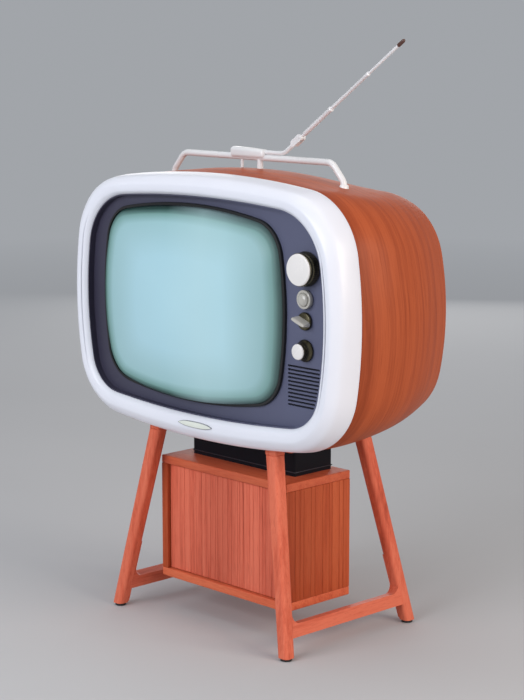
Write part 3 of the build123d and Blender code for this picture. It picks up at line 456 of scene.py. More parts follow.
def plastic(name, colour, roughness=0.3, coat=0.3, variation=0.06, grain=0.00003, metallic=0.0,
            specular=0.5):
    """Moulded plastic or paint: faint mottling, fingerprints in the gloss, fine grain."""
    shader = Shader(name, coat=coat, coat_roughness=0.08, metallic=metallic)
    shader.set("Specular IOR Level", specular)
    place = shader.place()
    cloud = shader.noise(place, 14.0, 3.0, 0.5)
    speck = shader.noise(place, 900.0, 2.0, 0.5)
    darker = tuple(c * (1 - 2.2 * variation) for c in colour[:3]) + (1.0,)
    tint = shader.mix(shader.ramp(cloud, (0.35, 0.0), (0.68, 1.0)), darker, colour)
    wear = shader.edge_wear(0.5, 0.64)
    brighter = tuple(min(1.0, c * 1.15 + 0.01) for c in colour[:3]) + (1.0,)
    shader.set("Base Color", shader.mix(shader.maths("MULTIPLY", wear, 0.35), tint, brighter))
    smear = shader.noise(shader.stretch(place, (30, 30, 9)), 1.0, 5.0, 0.6)
    shader.set("Roughness", shader.sum((smear, 0.18), (speck, 0.05), (1.0, roughness - 0.11)))
    shader.bump(shader.sum((speck, 0.5), (cloud, 0.6)), grain, 0.5)
    return shader.material


def metal(name, colour, roughness=0.35, brushed=(200, 200, 6), tarnish=0.3, dark=None):
    """Drawn or plated metal with fine brushing and cloudy tarnish."""
    shader = Shader(name, metallic=1.0)
    place = shader.place()
    brushing = shader.noise(shader.stretch(place, brushed), 6.0, 4.0, 0.6)
    cloud = shader.noise(place, 60.0, 4.0, 0.6)
    dull = dark or tuple(c * 0.45 for c in colour[:3]) + (1.0,)
    stain = shader.ramp(cloud, (0.42, 0.0), (0.72, tarnish))
    shader.set("Base Color", shader.mix(stain, colour, dull))
    shader.set("Roughness", shader.sum((brushing, 0.2), (cloud, 0.15), (1.0, roughness - 0.15)))
    shader.bump(shader.sum((brushing, 0.6), (cloud, 0.4)), 0.00004, 0.5)
    return shader.material


# -------------------- materials

def screen_material():
    """Opaque pale screen under a glossy coat, with painted shade, darker and greener, towards the rim,
    a painted highlight band across it and painted shade on its far side.
    """
    shader = Shader("screen_glass", roughness=0.16, coat_roughness=0.05)
    rim = shader.part(shader.attribute("rim"), 0)
    across = shader.part(shader.attribute("rim"), 1)
    cloud = shader.noise(shader.place(), 5.0, 3.0, 0.5)
    level = shader.sum((rim, 1.0), (cloud, 0.04), (1.0, -0.02))
    # painted shade: the screen turns dark and green where its rolled edge turns away from the light
    body = shader.ramp(level, (0.0, srgb(8, 20, 20)), (0.03, srgb(40, 66, 62)),
                       (0.065, srgb(120, 160, 156)), (0.15, srgb(158, 198, 203)),
                       (0.50, srgb(174, 215, 226)), (1.0, srgb(180, 220, 231)))
    # painted highlight: a pale band laid across the screen
    painted_highlight_band = shader.ramp(across, (0.42, 0.0), (0.62, 1.0), (0.72, 0.8), (0.95, 0.0))
    body = shader.mix(shader.maths("MULTIPLY", painted_highlight_band, 0.35), body, srgb(190, 222, 226))
    # painted shade: the far side of the screen darker
    far = shader.ramp(across, (0.74, 0.0), (1.0, 1.0))
    body = shader.mix(shader.maths("MULTIPLY", far, 0.40), body, srgb(130, 158, 156))
    shader.set("Base Color", body)
    shine = shader.ramp(rim, (0.06, 0.0), (0.30, 0.55))
    shader.set("Coat Weight", shine)
    shader.set("Specular IOR Level", shader.ramp(rim, (0.03, 0.05), (0.25, 0.5)))
    dust = shader.noise(shader.place(), 700.0, 2.0, 0.5)
    shader.set("Roughness", shader.sum((cloud, 0.08), (dust, 0.05), (1.0, 0.10)))
    shader.bump(dust, 0.00001, 0.2)
    return shader.material


def bezel_material():
    """Glossy white moulding, with painted shade in the crescent grooves."""
    shader = Shader("white_moulding", coat=0.15, coat_roughness=0.12)
    place = shader.place()
    cloud = shader.noise(place, 6.0, 4.0, 0.55)
    scuff = shader.noise(shader.stretch(place, (260, 260, 30)), 1.0, 5.0, 0.7)
    white = shader.mix(cloud, srgb(226, 228, 238), srgb(238, 239, 248))
    # painted shade: the crescent grooves darkened towards grey-blue
    groove = shader.part(shader.attribute("profile"), 0)
    colour = shader.mix(shader.maths("MULTIPLY", groove, 0.75), white, srgb(98, 98, 114))
    shader.set("Base Color", colour)
    shader.set("Roughness", shader.sum((cloud, 0.08), (scuff, 0.04), (1.0, 0.3)))
    shader.bump(shader.sum((cloud, 0.8), (scuff, 0.02)), 0.00008, 0.3)
    return shader.material


def mask_material():
    """Dark blue-grey lacquered panel, a little dusty, with painted shade on its left side and painted
    light on its right.
    """
    shader = Shader("mask_lacquer", coat=0.15, coat_roughness=0.3)
    place = shader.place()
    cloud = shader.noise(place, 5.0, 4.0, 0.55)
    speck = shader.noise(place, 1500.0, 2.0, 0.5)
    # painted shade and light: the panel darker on the left and lighter on the right, by how the light
    # falls on it
    across = shader.ramp(shader.sum((shader.part(place, 0), 2.1), (1.0, 0.5)), (0.0, 0.0), (0.9, 1.0))
    left = shader.mix(cloud, srgb(43, 40, 57), srgb(56, 53, 74))
    right = shader.mix(cloud, srgb(80, 83, 109), srgb(90, 94, 121))
    base = shader.mix(across, left, right)
    dust = shader.ramp(speck, (0.62, 0.0), (0.75, 1.0))
    shader.set("Base Color", shader.mix(shader.maths("MULTIPLY", dust, 0.15), base,
                                        srgb(120, 122, 140)))
    shader.set("Roughness", shader.sum((cloud, 0.15), (speck, 0.1), (1.0, 0.38)))
    shader.bump(speck, 0.00004, 0.6)
    return shader.material


def cloth_material():
    """Dark loudspeaker cloth with a plain weave."""
    shader = Shader("speaker_cloth", roughness=0.95)
    place = shader.place()
    threads = []
    for direction in ("X", "Z"):
        wave = shader.node("ShaderNodeTexWave", wave_type="BANDS", bands_direction=direction)
        shader.put(wave.inputs["Vector"], place)
        wave.inputs["Scale"].default_value = 500.0
        threads.append(wave.outputs["Fac"])
    weave = shader.maths("MULTIPLY", *threads)
    shader.set("Base Color", shader.mix(weave, srgb(14, 14, 20), srgb(44, 44, 56)))
    shader.bump(weave, 0.0003, 0.8)
    return shader.material


def fibre_material():
    """Pressed brown fibreboard of the rear cover."""
    shader = Shader("rear_board", roughness=0.8)
    place = shader.place()
    fibres = shader.noise(shader.stretch(place, (60, 400, 400)), 2.0, 6.0, 0.7, 0.6)
    cloud = shader.noise(place, 8.0, 4.0, 0.5)
    colour = shader.ramp(shader.sum((fibres, 0.6), (cloud, 0.4)), (0.35, srgb(52, 36, 26)),
                         (0.55, srgb(86, 60, 42)), (0.7, srgb(104, 76, 52)))
    shader.set("Base Color", colour)
    shader.set("Roughness", shader.sum((fibres, 0.25), (1.0, 0.6)))
    shader.bump(fibres, 0.0002, 0.6)
    return shader.material


teak_dark = srgb(132, 55, 27)
teak_middle = srgb(161, 74, 41)
teak_light = srgb(178, 86, 49)
veneer = wood("teak_veneer", teak_dark, teak_middle, teak_light, (1.6, 60.0, 60.0), "grain")
stand_colours = (srgb(160, 66, 46), srgb(205, 94, 68), srgb(222, 116, 88))
leg_wood = wood("teak_solid", *stand_colours, (55.0, 55.0, 4.0))
rail_wood = wood("teak_rail", *stand_colours, (55.0, 4.0, 55.0))
plank_wood = wood("plank_wood", srgb(136, 54, 29), srgb(178, 79, 45), srgb(194, 94, 57),
                  (70.0, 70.0, 3.0), planks=True)
door_wood = wood("door_wood", srgb(150, 60, 42), srgb(210, 100, 76), srgb(226, 118, 92),
                 (70.0, 70.0, 3.0), planks=True)
board_wood = wood("board_wood", srgb(150, 62, 42), srgb(200, 92, 62), srgb(220, 114, 78),
                  (4.0, 60.0, 60.0), planks=True)
plywood = wood("plywood", srgb(120, 88, 58), srgb(164, 128, 90), srgb(188, 154, 114),
               (4.0, 40.0, 40.0), roughness=0.7, coat=0.0)
white_paint = plastic("white_paint", srgb(232, 232, 234), 0.28, 0.4, 0.05)
ivory = plastic("ivory_plastic", srgb(238, 234, 232), 0.25, 0.5, 0.04)
pearl = plastic("pearl_plastic", srgb(196, 192, 184), 0.22, 0.6, 0.10)
bronze = metal("bronze_trim", srgb(104, 98, 78), 0.30, (40, 40, 300), 0.7, srgb(26, 24, 18))
black_rubber = plastic("black_rubber", srgb(16, 17, 20), 0.55, 0.0, 0.1)
bakelite = plastic("bakelite", srgb(34, 22, 16), 0.3, 0.2, 0.1)
badge_enamel = plastic("badge_enamel", srgb(232, 236, 226), 0.22, 0.6, 0.04)
badge_edge = plastic("badge_edge", srgb(150, 152, 158), 0.3, 0.4)
steel = metal("plated_steel", srgb(176, 174, 168), 0.36)
aluminium = metal("can_metal", srgb(190, 190, 190), 0.3, (6, 200, 200))
copper = metal("copper_winding", srgb(168, 88, 44), 0.34, (6, 300, 300))
ferrite = plastic("ferrite", srgb(38, 38, 42), 0.6, 0.0, 0.12)
graphite = plastic("graphite_coat", srgb(30, 30, 33), 0.55, 0.0, 0.15)
paper = plastic("speaker_paper", srgb(40, 37, 34), 0.85, 0.0, 0.15, 0.0002)
rod_paint = plastic("rod_metal", srgb(234, 231, 233), 0.32, 0.2, 0.05, metallic=0.15)
tip_plastic = plastic("tip_plastic", srgb(84, 46, 34), 0.3, 0.4, 0.1)
plinth_paint = plastic("plinth_paint", srgb(8, 9, 20), 0.6, 0.0, 0.1, specular=0.15)
plinth_trim = metal("plinth_trim", srgb(84, 84, 92), 0.45)
brass = metal("brass_pin", srgb(196, 156, 84), 0.3)
screen_glass = screen_material()
bezel_white = bezel_material()
mask_lacquer = mask_material()
speaker_weave = cloth_material()
fibreboard = fibre_material()


# -------------------- cabinet

def build_shell():
    """Veneered shell: outer skin, rounded rims and inner skin."""
    stations = [section[0] for section in shell_sections]
    rings = [ring(section[1:]) for section in shell_sections]
    inner_rings = [ring(grown(section[1:], -wall)) for section in shell_sections]

    def through(family, y):
        """Ring at depth y on the smooth surface through all the sections."""
        total = 0.0
        for i, own in enumerate(family):
            weight = 1.0
            for j, station in enumerate(stations):
                if j != i:
                    weight *= (y - station) / (stations[i] - station)
            total = total + own * weight
        return total

    rim = 3.0
    rows = []
    depths = []
    for y, pull in ((seam_y, 0.8), (seam_y + 0.5, 0.2), (seam_y + 1.5, 0.0)):
        rows.append(through(rings, y) * (1 - pull / 270))
        depths.append(y)
    steps = 34
    for k in range(1, steps + 1):
        y = seam_y + 1.5 + (rear_y - rim - seam_y - 1.5) * k / steps
        rows.append(through(rings, y))
        depths.append(y)
    for k in range(1, 7):
        angle = pi / 2 * k / 6
        y = rear_y - rim + rim * sin(angle)
        rows.append(through(rings, y) * (1 - rim * (1 - cos(angle)) / 250))
        depths.append(y)
    lip = ring(grown(shell_sections[-1][1:], -wall + 7))
    rows.append(lip)
    depths.append(rear_y)
    rows.append(lip)
    depths.append(rear_ledge_y)
    for k in range(9):
        y = rear_ledge_y + (seam_y - rear_ledge_y) * k / 8
        rows.append(through(inner_rings, y))
        depths.append(y)
    rows.append(rows[0])
    depths.append(depths[0])
    columns = len(rows[0])
    vertices = np.vstack([upright(row, y) for row, y in zip(rows, depths)])
    piece = make_piece("cabinet_wood", vertices, loft_faces(len(rows), columns), "cabinet", veneer,
                       35, ("cabinet_shell",))
    middle = through(rings, 0.0)
    steps_along = np.linalg.norm(np.roll(middle, -1, axis=0) - middle, axis=1)
    along = np.concatenate([[0.0], np.cumsum(steps_along)[:-1]]) * MM
    grain = []
    for y in depths:
        bow = 0.004 * np.sin(along * 9.0) + 0.003 * np.sin(along * 23.0 + 1.0)
        grain.append(np.column_stack([along, y * MM + bow, np.full(columns, 0.1)]))
    point_attribute(piece, "grain", np.vstack(grain))


def build_bezel():
    """White front ring: inner bead, a crescent groove on each side and a full round ring."""
    groove_half_height = 118.0
    groove_from_x = 200
    groove_depth = 2.4
    seat = inner_wall / (bezel_outline[0] - opening_outline[0])
    profile = [(0.0, mask_front_y, 0), (0.0, -120.6, 0), (0.008, -121.8, 0), (0.03, -123.0, 0),
               (0.08, -124.9, 0), (0.13, -126.3, 0), (0.18, -127.2, 0), (0.212, -127.4, 0.15),
               (0.228, -127.5, 1), (0.242, -127.6, 1), (0.256, -127.7, 0.9), (0.272, -127.8, 0.2),
               (0.30, -127.9, 0), (0.37, -128.0, 0), (0.43, -128.0, 0), (0.476, -127.9, 0),
               (0.52, -127.3, 0), (0.58, -126.2, 0), (0.666, -123.9, 0), (0.76, -121.2, 0),
               (0.849, -117.8, 0), (0.895, -114.2, 0), (0.926, -110.0, 0), (0.955, -104.0, 0),
               (0.98, -98.0, 0), (1.0, -91.0, 0), (0.992, -87.0, 0), (0.979, seam_y, 0),
               (0.70, seam_y, 0), (seat, seam_y, 0), (seat, mask_front_y, 0)]
    rows = []
    marks = []
    for share, y, groove in profile:
        points = ring(mixed(opening_outline, bezel_outline, share))
        side = np.clip(1 - (points[:, 1] / groove_half_height)**2, 0, None)
        side = side * (np.abs(points[:, 0]) > groove_from_x)
        centre = (0.0, opening_z + (cabinet_z - opening_z) * share)
        rows.append(upright(points, y + groove_depth * groove * side, centre))
        # groove mask, read by the material for its painted shade in the grooves
        marks.append(np.column_stack([groove * side, side, side]))
    columns = len(rows[0])
    faces = loft_faces(len(rows), columns)
    last = (len(rows) - 1) * columns
    faces += [(last + k, last + (k + 1) % columns, (k + 1) % columns, k) for k in range(columns)]
    piece = make_piece("bezel_moulding", np.vstack(rows), faces, "cabinet", bezel_white, 60,
                       ("front_bezel",))
    point_attribute(piece, "profile", np.vstack(marks))


def build_screen():
    """Domed faceplate with a rolled edge; rim distance and the place across are stored for its
    material's painted shade and painted highlight.
    """
    shares = [0.0, 0.12, 0.25, 0.38, 0.5, 0.6, 0.69, 0.77, 0.83, 0.88, 0.92, 0.95, 0.975, 0.99]
    rows = []
    marks = []
    outline = ring(glass_outline)

    def dome(points):
        return crown_y + dome_radius - np.sqrt(dome_radius**2 - (points**2).sum(axis=1))

    edge = 9.0
    glass_rear_y = -62.0
    inner = ring(grown(glass_outline, -edge))
    for share in shares[1:]:
        points = inner * share
        rows.append(upright(points, dome(points), screen_at))
        marks.append((points, (1 - share) * 0.95 + 0.05))
    for k in range(9):
        angle = pi / 2 * k / 8
        points = ring(grown(glass_outline, -edge + edge * sin(angle)))
        drop = edge * (1 - cos(angle))
        rows.append(upright(points, dome(inner) + drop, screen_at))
        marks.append((points, 0.05 * (1 - k / 8)))
    rows.append(upright(outline, glass_rear_y, screen_at))
    marks.append((outline, 0.0))
    columns = len(outline)
    vertices = np.vstack([[[screen_at[0] * MM, crown_y * MM, screen_at[1] * MM]]] + rows)
    faces = [(0, 1 + (k + 1) % columns, 1 + k) for k in range(columns)]
    faces += [tuple(i + 1 for i in face) for face in loft_faces(len(rows), columns)]
    last = 1 + (len(rows) - 1) * columns
    faces.append(tuple(range(last, last + columns)))
    piece = make_piece("screen", vertices, faces, "cabinet", screen_glass, 60, ("crt_faceplate",))
    rim = [(1.0, 0.5, 0.0)]
    for points, level in marks:
        across = (points[:, 0] / glass_outline[0] + 1) / 2
        rim += [(level, value, 0.0) for value in across]
    point_attribute(piece, "rim", rim)


def build_badge():
    """Blank pointed plaque: thin grey border with a pale enamel field."""
    low, high = corners("badge_plate")
    centre_z = (low[2] + high[2]) / 2
    length = high[0] - low[0]
    height = high[2] - low[2]
    steps = 40

    def loop(grow, y):
        """The plaque's outline, grown by an amount, at depth y."""
        points = []
        for k in range(steps):
            t = -1 + 2 * k / (steps - 1)
            rise = (1 - abs(t)**3)**0.8 * (height / 2 + grow)
            points.append((t * (length / 2 + grow), y, centre_z + rise))
        points += [(x, y, 2 * centre_z - z) for x, y, z in points[-2:0:-1]]
        return [tuple(c * MM for c in p) for p in points]

    columns = 2 * steps - 2
    front = low[1]
    border = loop(0, front + 3.8) + loop(0, front + 0.4) + loop(-0.3, front) + loop(-0.6, front)
    border += loop(-0.8, front + 0.6)
    make_piece("badge_border", border, capped_faces(5, columns), "cabinet", badge_edge, 30,
               ("badge_plate",))
    field = loop(-0.82, front + 1.0) + loop(-0.9, front + 0.4) + loop(-1.5, front + 0.1)
    make_piece("badge_field", field, capped_faces(3, columns), "cabinet", badge_enamel, 30)


# -------------------- controls

channel_at = (202.0, 534.0)
contrast_at = (200.5, 494.0)
tone_at = (199.0, 465.0)
volume_at = (199.0, 426.0)


def build_knobs():
    """Turned knobs; each profile runs from the foot to the front."""
    cap_rim = [(0.1, -124.2), (21.4, -124.2), (22.0, -124.8), (22.0, -127.6), (21.6, -128.6),
               (20.6, -128.9), (0.1, -128.9)]
    lathe("channel_cap_rim", cap_rim, channel_at, "channel_selector", bronze)
    cap = [(0.1, -128.6), (20.6, -128.6), (21.1, -129.2)]
    cap += arc((19.0, -129.4), 2.1, 0, -80, 8)
    cap += [(16, -131.5), (12, -131.9), (7, -132.2), (3, -132.4), (0.1, -132.5)]
    lathe("channel_cap", cap, channel_at, "channel_selector", ivory, ("channel_knob",))
    skirt = [(3.2, -104.0), (4.8, -104.0), (4.8, knob_foot_y), (21.4, knob_foot_y), (22.6, -113.6),
             (23.0, -114.6), (22.9, -116.5), (22.4, -119.5), (22.0, -122.0), (21.4, -123.2),
             (20.6, -123.7), (3.2, -123.7)]
    lathe("fine_tuning_skirt", skirt, channel_at, "fine_tuning", bronze, ("fine_tuning_ring",),
          segments=288, flutes=48, flute_depth=0.5, fluted=(5, 6, 7, 8))
    ring_profile = [(0.1, knob_foot_y), (12.0, knob_foot_y), (12.4, -113.7), (12.6, -115.5),
                    (12.6, -117.2)]
    ring_profile += arc((11.4, -118.0), 1.2, 0, -110, 6)
    ring_profile += [(9.6, -118.9), (9.3, -118.0), (0.1, -118.0)]
    lathe("contrast_ring", ring_profile, contrast_at, "contrast_control", pearl,
          ("contrast_knob",), segments=192, flutes=32, flute_depth=0.35, fluted=(2, 3, 4))
    dome = [(0.1, -117.6), (8.6, -117.6), (8.7, -119.2)]
    dome += [(8.7 * cos(radians(a)), -119.4 - 4.0 * sin(radians(a))) for a in range(6, 86, 8)]
    dome += [(0.1, -123.4)]
    lathe("contrast_dome", dome, contrast_at, "contrast_control", pearl)
    base = [(0.1, knob_foot_y), (11.6, knob_foot_y), (12.0, -113.6), (12.0, -115.2), (11.4, -116.4),
            (10.2, -117.0), (0.1, -117.0)]
    lathe("tone_disc", base, tone_at, "tone_control", bronze, ("tone_knob_base",))
    flare = [(0.1, knob_foot_y), (14.2, knob_foot_y), (14.8, -113.7), (14.8, -114.8)]
    flare += [(11.4 + 3.4 * (1 - t)**2.2, -114.8 - 6.7 * t) for t in (0.15, 0.3, 0.5, 0.7, 0.85, 1)]
    flare += [(0.1, -121.5)]
    lathe("volume_skirt", flare, volume_at, "volume_control", bronze, ("volume_knob_skirt",),
          segments=192, flutes=36, flute_depth=0.35, fluted=(6, 7, 8, 9))
    top_rim = [(0.1, -121.5), (10.6, -121.5), (10.9, -122.0), (11.0, -125.6), (10.6, -126.4),
               (0.1, -126.4)]
    lathe("volume_cap_rim", top_rim, volume_at, "volume_control", bronze)
    top = [(0.1, -126.0), (10.2, -126.0), (10.6, -126.6)]
    top += arc((8.6, -127.0), 2.0, 0, -80, 6)
    top += [(5, -129.3), (0.1, -129.5)]
    lathe("volume_cap", top, volume_at, "volume_control", ivory, ("volume_knob_cap",))
    build_tone_bar()


def build_tone_bar():
    """Pointer bar of the tone knob, waisted, with a round nose."""
    tilt = radians(-20)
    rows = []
    steps = 48
    for y, length, width in ((-117.0, 25.2, 9.4), (-118.5, 25.5, 9.2), (-122.0, 25.2, 7.6),
                             (-126.5, 24.6, 6.2), (-128.2, 23.8, 5.6), (-129.0, 22.0, 4.2)):
        for k in range(steps):
            angle = 2 * pi * k / steps
            u = length / 2 * np.sign(cos(angle)) * abs(cos(angle))**0.8
            pinch = 1 - 0.22 * (1 - (2 * u / length)**2)
            v = width / 2 * np.sign(sin(angle)) * abs(sin(angle))**0.7 * pinch
            rows.append(((tone_at[0] + u * cos(tilt) - v * sin(tilt)) * MM, y * MM,
                         (tone_at[1] + u * sin(tilt) + v * cos(tilt)) * MM))
    make_piece("tone_bar", rows, capped_faces(6, steps), "tone_control", pearl, 50, ("tone_knob_bar",))


# -------------------- handle and aerial

handle_y = -12.0
handle_foot_x = 170.5
handle_bend_x = 148.0
handle_bar_z = 663.4
elbow = (89.2, 694.4)
rod_end = (275.8, 827.0)
rod_length = hypot(rod_end[0] - elbow[0], rod_end[1] - elbow[1])
rod_direction = Vector(((rod_end[0] - elbow[0]) / rod_length, 0,
                        (rod_end[1] - elbow[1]) / rod_length))


def on_rod(distance):
    """Point on the aerial's line, by its distance from the elbow."""
    return Vector((elbow[0], handle_y, elbow[1])) + rod_direction * distance


def build_handle():
    """Bent tube with a collar round each foot."""
    foot_z = 626
    knee_z = 638
    tube_radius = 4.4
    foot_x = handle_foot_x
    bend_x = handle_bend_x
    path = filleted_path([(-foot_x, handle_y, foot_z), (-foot_x, handle_y, knee_z),
                          (-bend_x, handle_y, handle_bar_z), (bend_x, handle_y, handle_bar_z),
                          (foot_x, handle_y, knee_z), (foot_x, handle_y, foot_z)], 20)
    make_piece("handle_tube", *tube_mesh(path, tube_radius, 32), "cabinet", white_paint, 50,
               ("handle_bar",))
    profile = [(4.5, 625), (6.6, 625), (6.5, 630), (6.1, 633), (5.3, 634.6), (4.5, 634.9)]
    steps = 48
    collars = []
    for side in (-1, 1):
        rows = []
        for radius, z in profile:
            for k in range(steps):
                angle = 2 * pi * k / steps
                rows.append(((side * foot_x + radius * cos(angle)) * MM,
                             (handle_y + radius * sin(angle)) * MM, z * MM))
        collars.append((rows, loft_faces(len(profile), steps)))
    make_piece("handle_collars", *joined(*collars), "cabinet", white_paint, 50,
               ("handle_ferrules",))


def build_block():
    """Block on the handle, sloping down towards the arm, on two posts."""
    half_depth = 7.5
    slope = 0.3
    slope_from_x = 10
    slope_above_z = 668
    post_z = 651
    builder = bmesh.new()
    add_rounded_box(builder, (-46, handle_y - half_depth, 662), (22, handle_y + half_depth, 677),
                    5.0, 6)
    for vertex in builder.verts:
        if vertex.co.z > slope_above_z and vertex.co.x > slope_from_x:
            vertex.co.z -= slope * (vertex.co.x - slope_from_x)
    for x, radius in ((-27.0, 2.2), (9.5, 4.0)):
        post = bmesh.ops.create_cone(builder, cap_ends=True, segments=32, radius1=radius * 1.1,
                                     radius2=radius, depth=28)
        for vertex in post["verts"]:
            vertex.co += Vector((x, handle_y, post_z))
    built_piece("aerial_block_body", builder, "cabinet", white_paint, 50, ("aerial_block",))


def knuckle_meshes():
    """Round tongue at the elbow and the neck that joins it to the base section."""
    half_tongue = 1.7
    near = handle_y - half_tongue
    far = handle_y + half_tongue
    tongue = lathe_mesh([(0.1, far), (3.9, far), (4.3, far - 0.4), (4.3, near + 0.4), (3.9, near),
                         (0.1, near)], elbow, 48)
    neck = tube_mesh([on_rod(2), on_rod(5), on_rod(8.6), on_rod(9.4)], [1.6, 1.65, 1.65, 3.0])
    return [tongue, neck]


def build_aerial():
    """Thin telescopic sections with rolled ends, and the dark tip."""
    tip_start = 215
    for name, node, body, start, end, radius in (
            ("base_section", "aerial_base_tube", "aerial_base", 8.4, 71.0, 3.3),
            ("middle_section", "aerial_middle_tube", "aerial_middle", 60.0, 153.0, 2.6)):
        path = [on_rod(start), on_rod(start + 1), on_rod(end - 4), on_rod(end - 3.4),
                on_rod(end - 2.6), on_rod(end - 0.6), on_rod(end)]
        radii = [radius - 0.3, radius, radius, radius + 0.35, radius + 0.45, radius + 0.4,
                 radius - 0.2]
        parts = [tube_mesh(path, radii)]
        if name == "base_section":
            parts += knuckle_meshes()
        make_piece(name, *joined(*parts), body, rod_paint, 50, (node,))
    rod = tube_mesh([on_rod(142), on_rod(143), on_rod(tip_start), on_rod(216)],
                    [1.8, 2.0, 2.0, 1.9])
    make_piece("end_section", *rod, "aerial_end", rod_paint, 50, ("aerial_end_rod",))
    path = [on_rod(tip_start + k) for k in (0, 0.8, 2, 9, 11, 12.4, 13.3, 13.8)]
    sleeve = tube_mesh(path, [2.1, 2.6, 2.7, 2.6, 2.5, 2.1, 1.3, 0.3])
    make_piece("tip_sleeve", *sleeve, "aerial_end", tip_plastic, 50, ("aerial_tip",))


# -------------------- plinth and box

def build_box():
    """Boards, side and back planks, and the slatted door with its plain stile."""
    top_low, top_high = corners("box_top_board")
    bottom_low, bottom_high = corners("box_bottom_board")
    side_low, side_high = corners("box_sides")
    door_low, door_high = corners("cabinet_door")
    back_low, back_high = corners("box_back_panel")
    boxes_piece("box_top", [(top_low, top_high)], 1.6, "cabinet", board_wood, ("box_top_board",))
    boxes_piece("box_bottom", [(bottom_low, bottom_high)], 1.4, "cabinet", board_wood,
                ("box_bottom_board",))
    planks = []
    board = 12.0
    gap = 0.15                              # left free on each side of a plank
    for side in (-1, 1):
        inner_x, outer_x = sorted((side * (side_high[0] - board), side * side_high[0]))
        edges = plank_edges(side_low[1], side_high[1], 11, 1.1)
        for left, right in edges:
            planks.append(((inner_x, left + gap, side_low[2]), (outer_x, right - gap, side_high[2])))
    boxes_piece("box_side_planks", planks, 0.7, "cabinet", plank_wood, ("box_sides",))
    edges = plank_edges(back_low[0], back_high[0], 20, 2.3)
    planks = [((left + gap, back_low[1], back_low[2]), (right - gap, back_high[1], back_high[2]))
              for left, right in edges]
    boxes_piece("box_back_planks", planks, 0.7, "cabinet", plank_wood, ("box_back_panel",))
    stile = 30.0
    slat_gap = 0.12
    slat_recess = 0.4
    slats = [((door_low[0], door_low[1], door_low[2]),
              (door_low[0] + stile, door_high[1], door_high[2]))]
    for left, right in plank_edges(door_low[0] + stile, door_high[0], 22, 0.4):
        slats.append(((left + slat_gap, door_low[1] + slat_recess, door_low[2]),
                      (right - slat_gap, door_high[1], door_high[2])))
    boxes_piece("door_slats", slats, 0.7, "door", door_wood, ("cabinet_door",))


def plank_edges(low, high, count, seed):
    """Pairs of edges of planks of uneven width."""
    widths = [1 + 0.42 * sin(2.4 * k + seed) + 0.18 * sin(5.1 * k + seed) for k in range(count)]
    scale = (high - low) / sum(widths)
    pairs = []
    left = low
    for width in widths:
        pairs.append((left, left + width * scale))
        left += width * scale
    return pairs


def build_leg_heads():
    """Wooden heads that carry the leaning legs up to the cabinet."""
    low, high = corners("leg_plates")
    half = 10.2
    top_x = 120.5
    lean_x = 0.2
    # For each leg: y of its top, then the head's lower end, height and lean in y.
    legs = ((-91.0, low[2] - 1.0, 10.5, 0.116), (80.0, high[2] - 3.5, 22.0, -0.154))
    boxes = []
    for side in (-1, 1):
        for y, bottom, tall, _ in legs:
            boxes.append(((side * top_x - half, y - half, bottom),
                          (side * top_x + half, y + half, bottom + tall)))
    piece = boxes_piece("leg_heads", boxes, 3.0, "cabinet", leg_wood, ("leg_plates",))
    for vertex in piece.data.vertices:
        _, bottom, _, lean = legs[0] if vertex.co.y < 0 else legs[1]
        rise = vertex.co.z - bottom * MM
        vertex.co.y += lean * rise
        vertex.co.x -= lean_x * rise * (1 if vertex.co.x > 0 else -1)


def build_plinth_trim():
    """Thin grey beads round the dark case."""
    low, high = corners("plinth_case")
    boxes = []
    for z in (low[2] + 5.0, low[2] + 37.0):
        boxes.append(((low[0] - 0.5, low[1] - 0.6, z), (high[0] + 0.5, low[1] + 0.2, z + 1.3)))
        boxes.append(((low[0] - 0.5, high[1] - 0.2, z), (high[0] + 0.5, high[1] + 0.6, z + 1.3)))
        boxes.append(((low[0] - 0.6, low[1], z), (low[0] + 0.2, high[1], z + 1.3)))
        boxes.append(((high[0] - 0.2, low[1], z), (high[0] + 0.6, high[1], z + 1.3)))
    boxes_piece("plinth_beads", boxes, 0.3, "cabinet", plinth_trim)


# -------------------- carried-over CAD nodes

def paint_nodes():
    """Gives every node that keeps its CAD shape its material."""
    plan = {
        mask_lacquer: ("control_mask",),
        speaker_weave: ("speaker_cloth",),
        black_rubber: ("screen_gasket", "foot_glides", "anode_lead"),
        fibreboard: ("rear_cover",),
        bakelite: ("rear_sockets", "crt_base", "valve_sockets"),
        steel: ("cabinet_screws", "stand_bolts", "crt_band", "chassis_tray",
                "speaker_basket", "tuner_case"),
        aluminium: ("smoothing_capacitors", "line_transformer", "control_pots", "tuner_drum"),
        copper: ("deflection_coils", "mains_transformer_coil"),
        ferrite: ("deflection_core", "mains_transformer_core", "speaker_magnet"),
        graphite: ("crt_funnel",),
        paper: ("speaker_cone",),
        plywood: ("front_baffle", "chassis_runners"),
        white_paint: ("aerial_arm",),
        leg_wood: ("legs", "leg_cleats"),
        rail_wood: ("side_stretchers",),
        plinth_paint: ("plinth_case",),
        brass: ("door_pins",),
        pearl: ("valve_bulbs",),
    }
    for material, names in plan.items():
        for name in names:
            slots = nodes[name].data.materials
            slots.clear()
            slots.append(material)


# -------------------- stage

camera_place = (1.9122, -1.8461, 0.84565)
camera_azimuth = 46.0
camera_elevation = 9.75
lens = 97.4


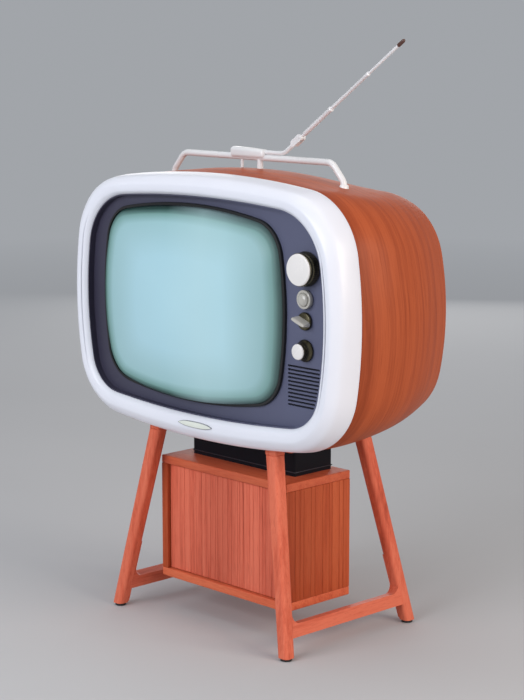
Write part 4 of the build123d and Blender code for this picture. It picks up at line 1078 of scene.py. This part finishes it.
def build_stage():
    """Pale floor, soft studio lights and the camera."""
    scene = bpy.context.scene
    scene.view_settings.view_transform = "Standard"
    backdrop = (0.90, 0.94, 1.0, 1.0)
    backdrop_strength = 0.40
    steps = 96
    reach = 50.0
    floor = [(reach * cos(2 * pi * k / steps), reach * sin(2 * pi * k / steps), 0.0)
             for k in range(steps)]
    mesh = bpy.data.meshes.new("floor")
    mesh.from_pydata(floor, [], [tuple(range(steps))])
    shader = Shader("floor", roughness=0.7)
    cloud = shader.noise(shader.place(), 1.5, 3.0, 0.5)
    pale = shader.mix(cloud, (0.50, 0.50, 0.51, 1), (0.54, 0.54, 0.55, 1))
    # Far away the floor takes on the backdrop's own brightness, so no horizon shows.
    length = shader.node("ShaderNodeVectorMath", operation="LENGTH")
    shader.put(length.inputs[0], shader.place())
    distance = shader.maths("MULTIPLY", length.outputs["Value"], 0.1)
    far = shader.ramp(distance, (0.10, 0.0), (0.50, 1.0))
    shader.set("Base Color", shader.mix(far, pale, (0, 0, 0, 1)))
    shader.set("Specular IOR Level", 0.0)
    shader.set("Emission Color", backdrop)
    shader.set("Emission Strength", shader.maths("MULTIPLY", far, backdrop_strength))
    mesh.materials.append(shader.material)
    piece = bpy.data.objects.new("floor", mesh)
    scene.collection.objects.link(piece)

    world = bpy.data.worlds.new("studio")
    scene.world = world
    world.use_nodes = True
    tree = world.node_tree
    background = tree.nodes["Background"]
    background.inputs["Color"].default_value = backdrop
    background.inputs["Strength"].default_value = backdrop_strength

    middle = Vector((0, 0, 0.45))

    def area(name, place, size, energy, colour):
        """Rectangular lamp that looks at the middle of the object."""
        light = bpy.data.lights.new(name, "AREA")
        light.shape = "RECTANGLE"
        light.size = size[0]
        light.size_y = size[1]
        light.energy = energy
        light.color = colour
        lamp = bpy.data.objects.new(name, light)
        scene.collection.objects.link(lamp)
        lamp.location = place
        lamp.rotation_euler = (middle - Vector(place)).to_track_quat("-Z", "Y").to_euler()

    area("front", (0.0, -2.9, 1.5), (2.2, 1.6), 56, (0.93, 0.96, 1.0))
    area("side", (2.9, 0.3, 1.3), (1.8, 1.6), 53, (1.0, 0.89, 0.78))
    area("top", (-0.4, -0.2, 3.0), (2.4, 2.4), 16, (1.0, 0.98, 0.96))
    area("back", (-2.0, 2.4, 0.9), (1.8, 1.4), 14, (1.0, 0.98, 0.95))

    camera_data = bpy.data.cameras.new("camera")
    camera_data.sensor_width = 36.0
    camera_data.lens = lens
    camera = bpy.data.objects.new("camera", camera_data)
    scene.collection.objects.link(camera)
    camera.location = camera_place
    azimuth = radians(camera_azimuth)
    elevation = radians(camera_elevation)
    back = Vector((sin(azimuth) * cos(elevation), -cos(azimuth) * cos(elevation), sin(elevation)))
    camera.rotation_euler = (-back).to_track_quat("-Z", "Y").to_euler()
    camera_data.clip_end = 60
    scene.camera = camera


build_shell()
build_bezel()
build_screen()
build_badge()
build_knobs()
build_handle()
build_block()
build_aerial()
build_box()
build_leg_heads()
build_plinth_trim()
paint_nodes()
build_stage()
